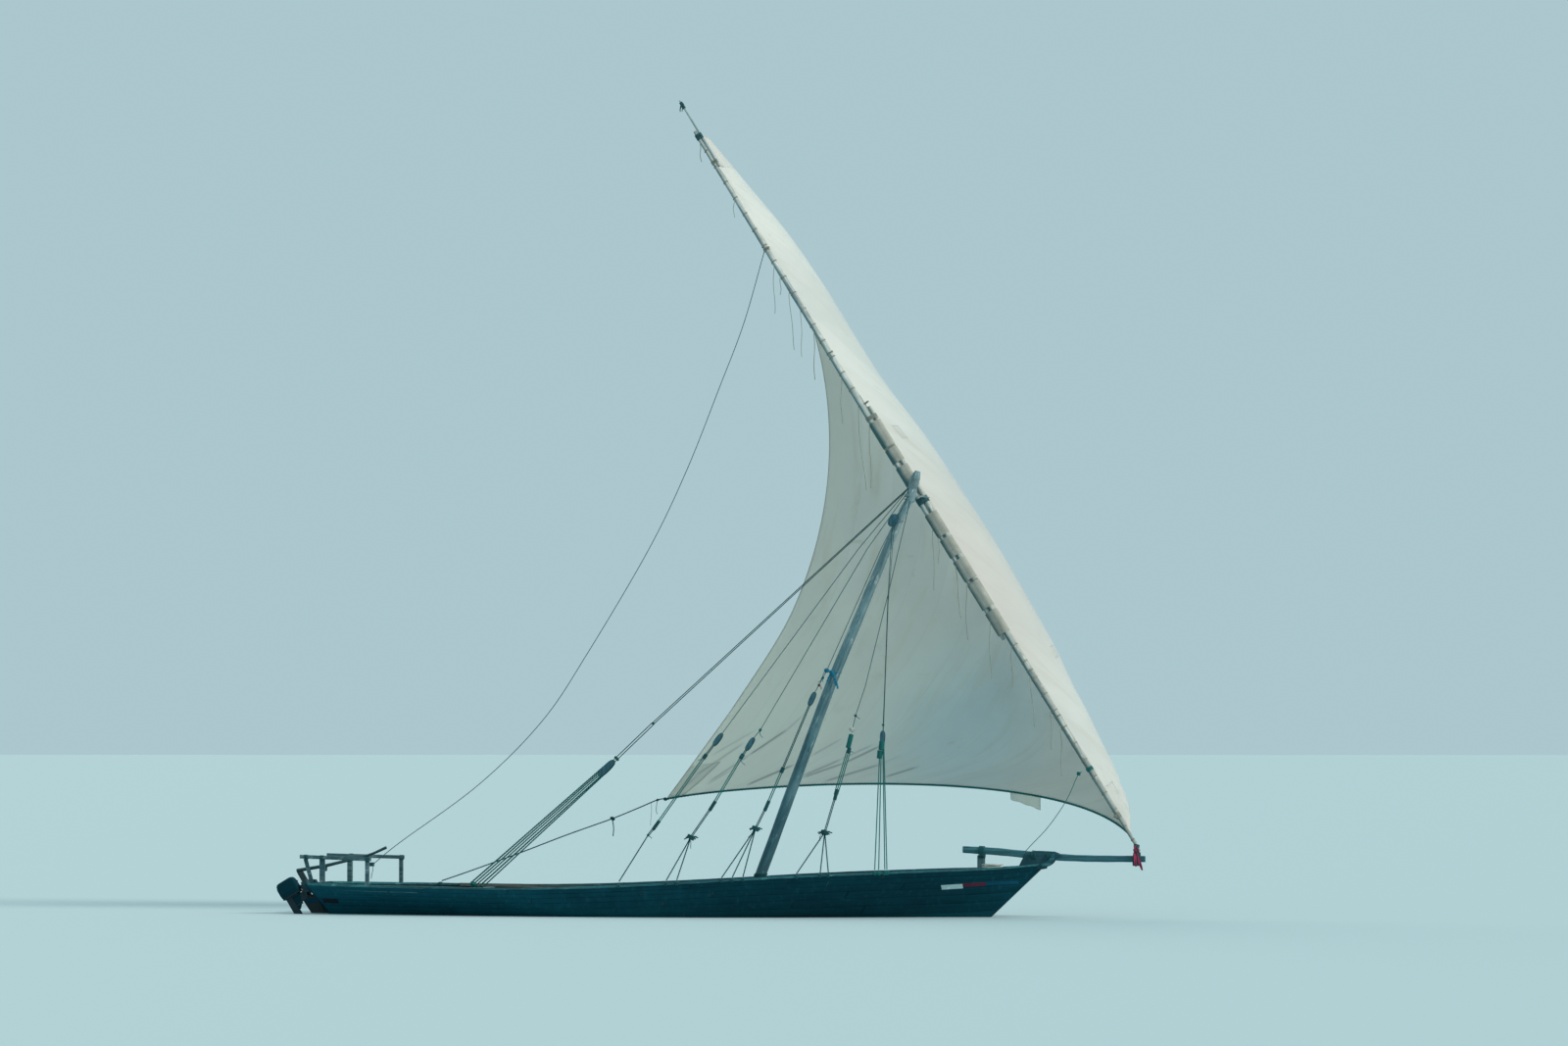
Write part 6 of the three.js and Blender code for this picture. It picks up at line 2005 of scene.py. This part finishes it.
def make_looks():
    made = {
        # Painted light: the hull's paint is lighter toward the stern, where the lamps light its side less
        "hull": painted_planks("hull_paint", *HULL, foul=True,
                               tones=((1, 0, 0), -9.0, 1.5, (1.85, 1.85, 1.85), SAME)),
        "backbone": painted_planks("backbone_paint", *HULL, foul=True),
        "red_cloth": cloth_look("red_cloth_look", (0.36, 0.012, 0.085), (0.15, 0.008, 0.04)),
        "iron": metal_look("rusty_iron", (0.06, 0.08, 0.085), (0.09, 0.05, 0.035), 0.8, 0.5, 0.8),
        "motor_plastic": plastic_look("motor_shell_plastic", (0.001, 0.026, 0.037), (0.014, 0.05, 0.06), 0.5),
        "motor_metal": metal_look("motor_leg_metal", (0.002, 0.024, 0.034), (0.012, 0.04, 0.05), 0.0, 0.75,
                                  0.2),
    }
    for key, (name, dark, middle, light, more) in TIMBERS.items():
        made[key] = wood(name, dark, middle, light, **more)
    for key, colours in PAINTS.items():
        made[key] = painted_planks(f"{key}_paint", *colours)
    for key, colours in CANVASES.items():
        made[key] = canvas_look(*colours)
    for key, colours in ROPE_COLOURS.items():
        made[f"rope_{key}"] = rope_look(f"rope_{key}_look", *colours)
    # Painted light and shade: the spars and their turns are paler on the fore side, where the light falls,
    # and dark teal on the aft side, in shade
    yard_place = float(YARD_TACK @ YARD_AHEAD)
    lower, upper = SPARS["yard_lower"][1] + yard_place, SPARS["yard_upper"][1] + yard_place
    spars = {
        "yard_lower": ((0.13, 0.17, 0.17), (0.47, 0.50, 0.46), (0.80, 0.76, 0.66), 0.95,
                       (lower - 0.055, lower + 0.02, (0.24, 0.45, 0.52), SAME)),
        "yard_upper": ((0.16, 0.23, 0.24), (0.54, 0.58, 0.55), (0.82, 0.81, 0.74), 0.8,
                       (upper - 0.06, upper + 0.01, (0.26, 0.48, 0.55), SAME)),
        "yard_tip": ((0.10, 0.16, 0.17), (0.31, 0.40, 0.41), (0.50, 0.56, 0.55), 0.5,
                     (-1.0, 1.0, SAME, SAME)),
    }
    for key, (dark, middle, light, blotch, tones) in spars.items():
        made[key] = wood(f"{key}_timber", dark, middle, light, along=tuple(YARD_ALONG), blotch=blotch,
                         relief=0.006, wear=light, tones=(YARD_AHEAD, *tones))
    for key, first, last in (("wrap_low", upper - 0.07, upper + 0.05),
                             ("wrap_high", upper - 0.02, upper + 0.085)):
        made[key] = rope_look(f"{key}_look", (0.42, 0.41, 0.36), (0.64, 0.61, 0.53), (0.16, 0.17, 0.155),
                              tones=(YARD_AHEAD, first, last, (0.16, 0.36, 0.43), SAME))
    return made


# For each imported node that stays, its look and how much is taken off its edges
DRESSED = {
    "keel": ("backbone", 0.01), "stem": ("backbone", 0.012), "sternpost": ("backbone", 0.01),
    "transom": ("backbone", 0.008), "hold_frames": ("inside_up", 0.0), "bulkhead_aft": ("inside", 0.004),
    "bulkhead_forward": ("inside", 0.004), "hold_beam_aft": ("beam_wood", 0.012),
    "hold_beam_middle": ("beam_wood", 0.012), "mast_beam": ("beam_wood", 0.012),
    "mast_step": ("inside", 0.012), "bow_bitt": ("grey_wood", 0.014),
    "stern_rail_port": ("stern_wood", 0.010), "stern_rail_starboard": ("stern_wood", 0.010),
    "rudder_gudgeon_lower": ("iron", 0.002), "rudder_gudgeon_upper": ("iron", 0.002),
    "rudder": ("rudder", 0.010), "tiller": ("tiller", 0.0),
    "motor_pad": ("pad_wood", 0.008), "motor_bracket": ("motor_metal", 0.004),
    "motor_leg": ("motor_metal", 0.006), "motor_propeller": ("motor_metal", 0.003),
}


def dress_frame(looks):
    for name, (look, bevel) in DRESSED.items():
        dress(name, looks[look], bevel)
    for name, node in nodes.items():
        if name not in DRESSED:
            node.data.materials.clear()
            node.data.materials.append(looks["grey_wood"])


make_studio()
looks = make_looks()
dress_frame(looks)
make_planking(looks["hull"])
make_rails(looks["rail"])
make_stripes(looks)
make_deck("fore", 4.565, 9.42, looks["deck"])
make_deck("after", -9.62, -6.465, looks["deck"])
make_hold_floor(looks["inside"])
make_stringers(looks["inside"])
make_mast(looks["mast"])
make_yard(looks)
sail_cloth = make_sail(looks)
make_ties(looks, sail_cloth)
make_spar_lashings(looks)
make_tails(looks)
make_shrouds(looks)
make_backstay(looks)
make_halyard(looks)
make_vang(looks)
make_sheet_line(looks, sail_cloth)
make_tack(looks)
make_red_cloth(looks)
make_parrel(looks)
make_bow_line(looks)
make_mast_turns(looks)
make_bowsprit(looks)
make_stem_head(looks)
make_bowsprit_lashings(looks)
make_coil(looks)
make_stern(looks)
make_motor(looks)
make_rail_lashings(looks)
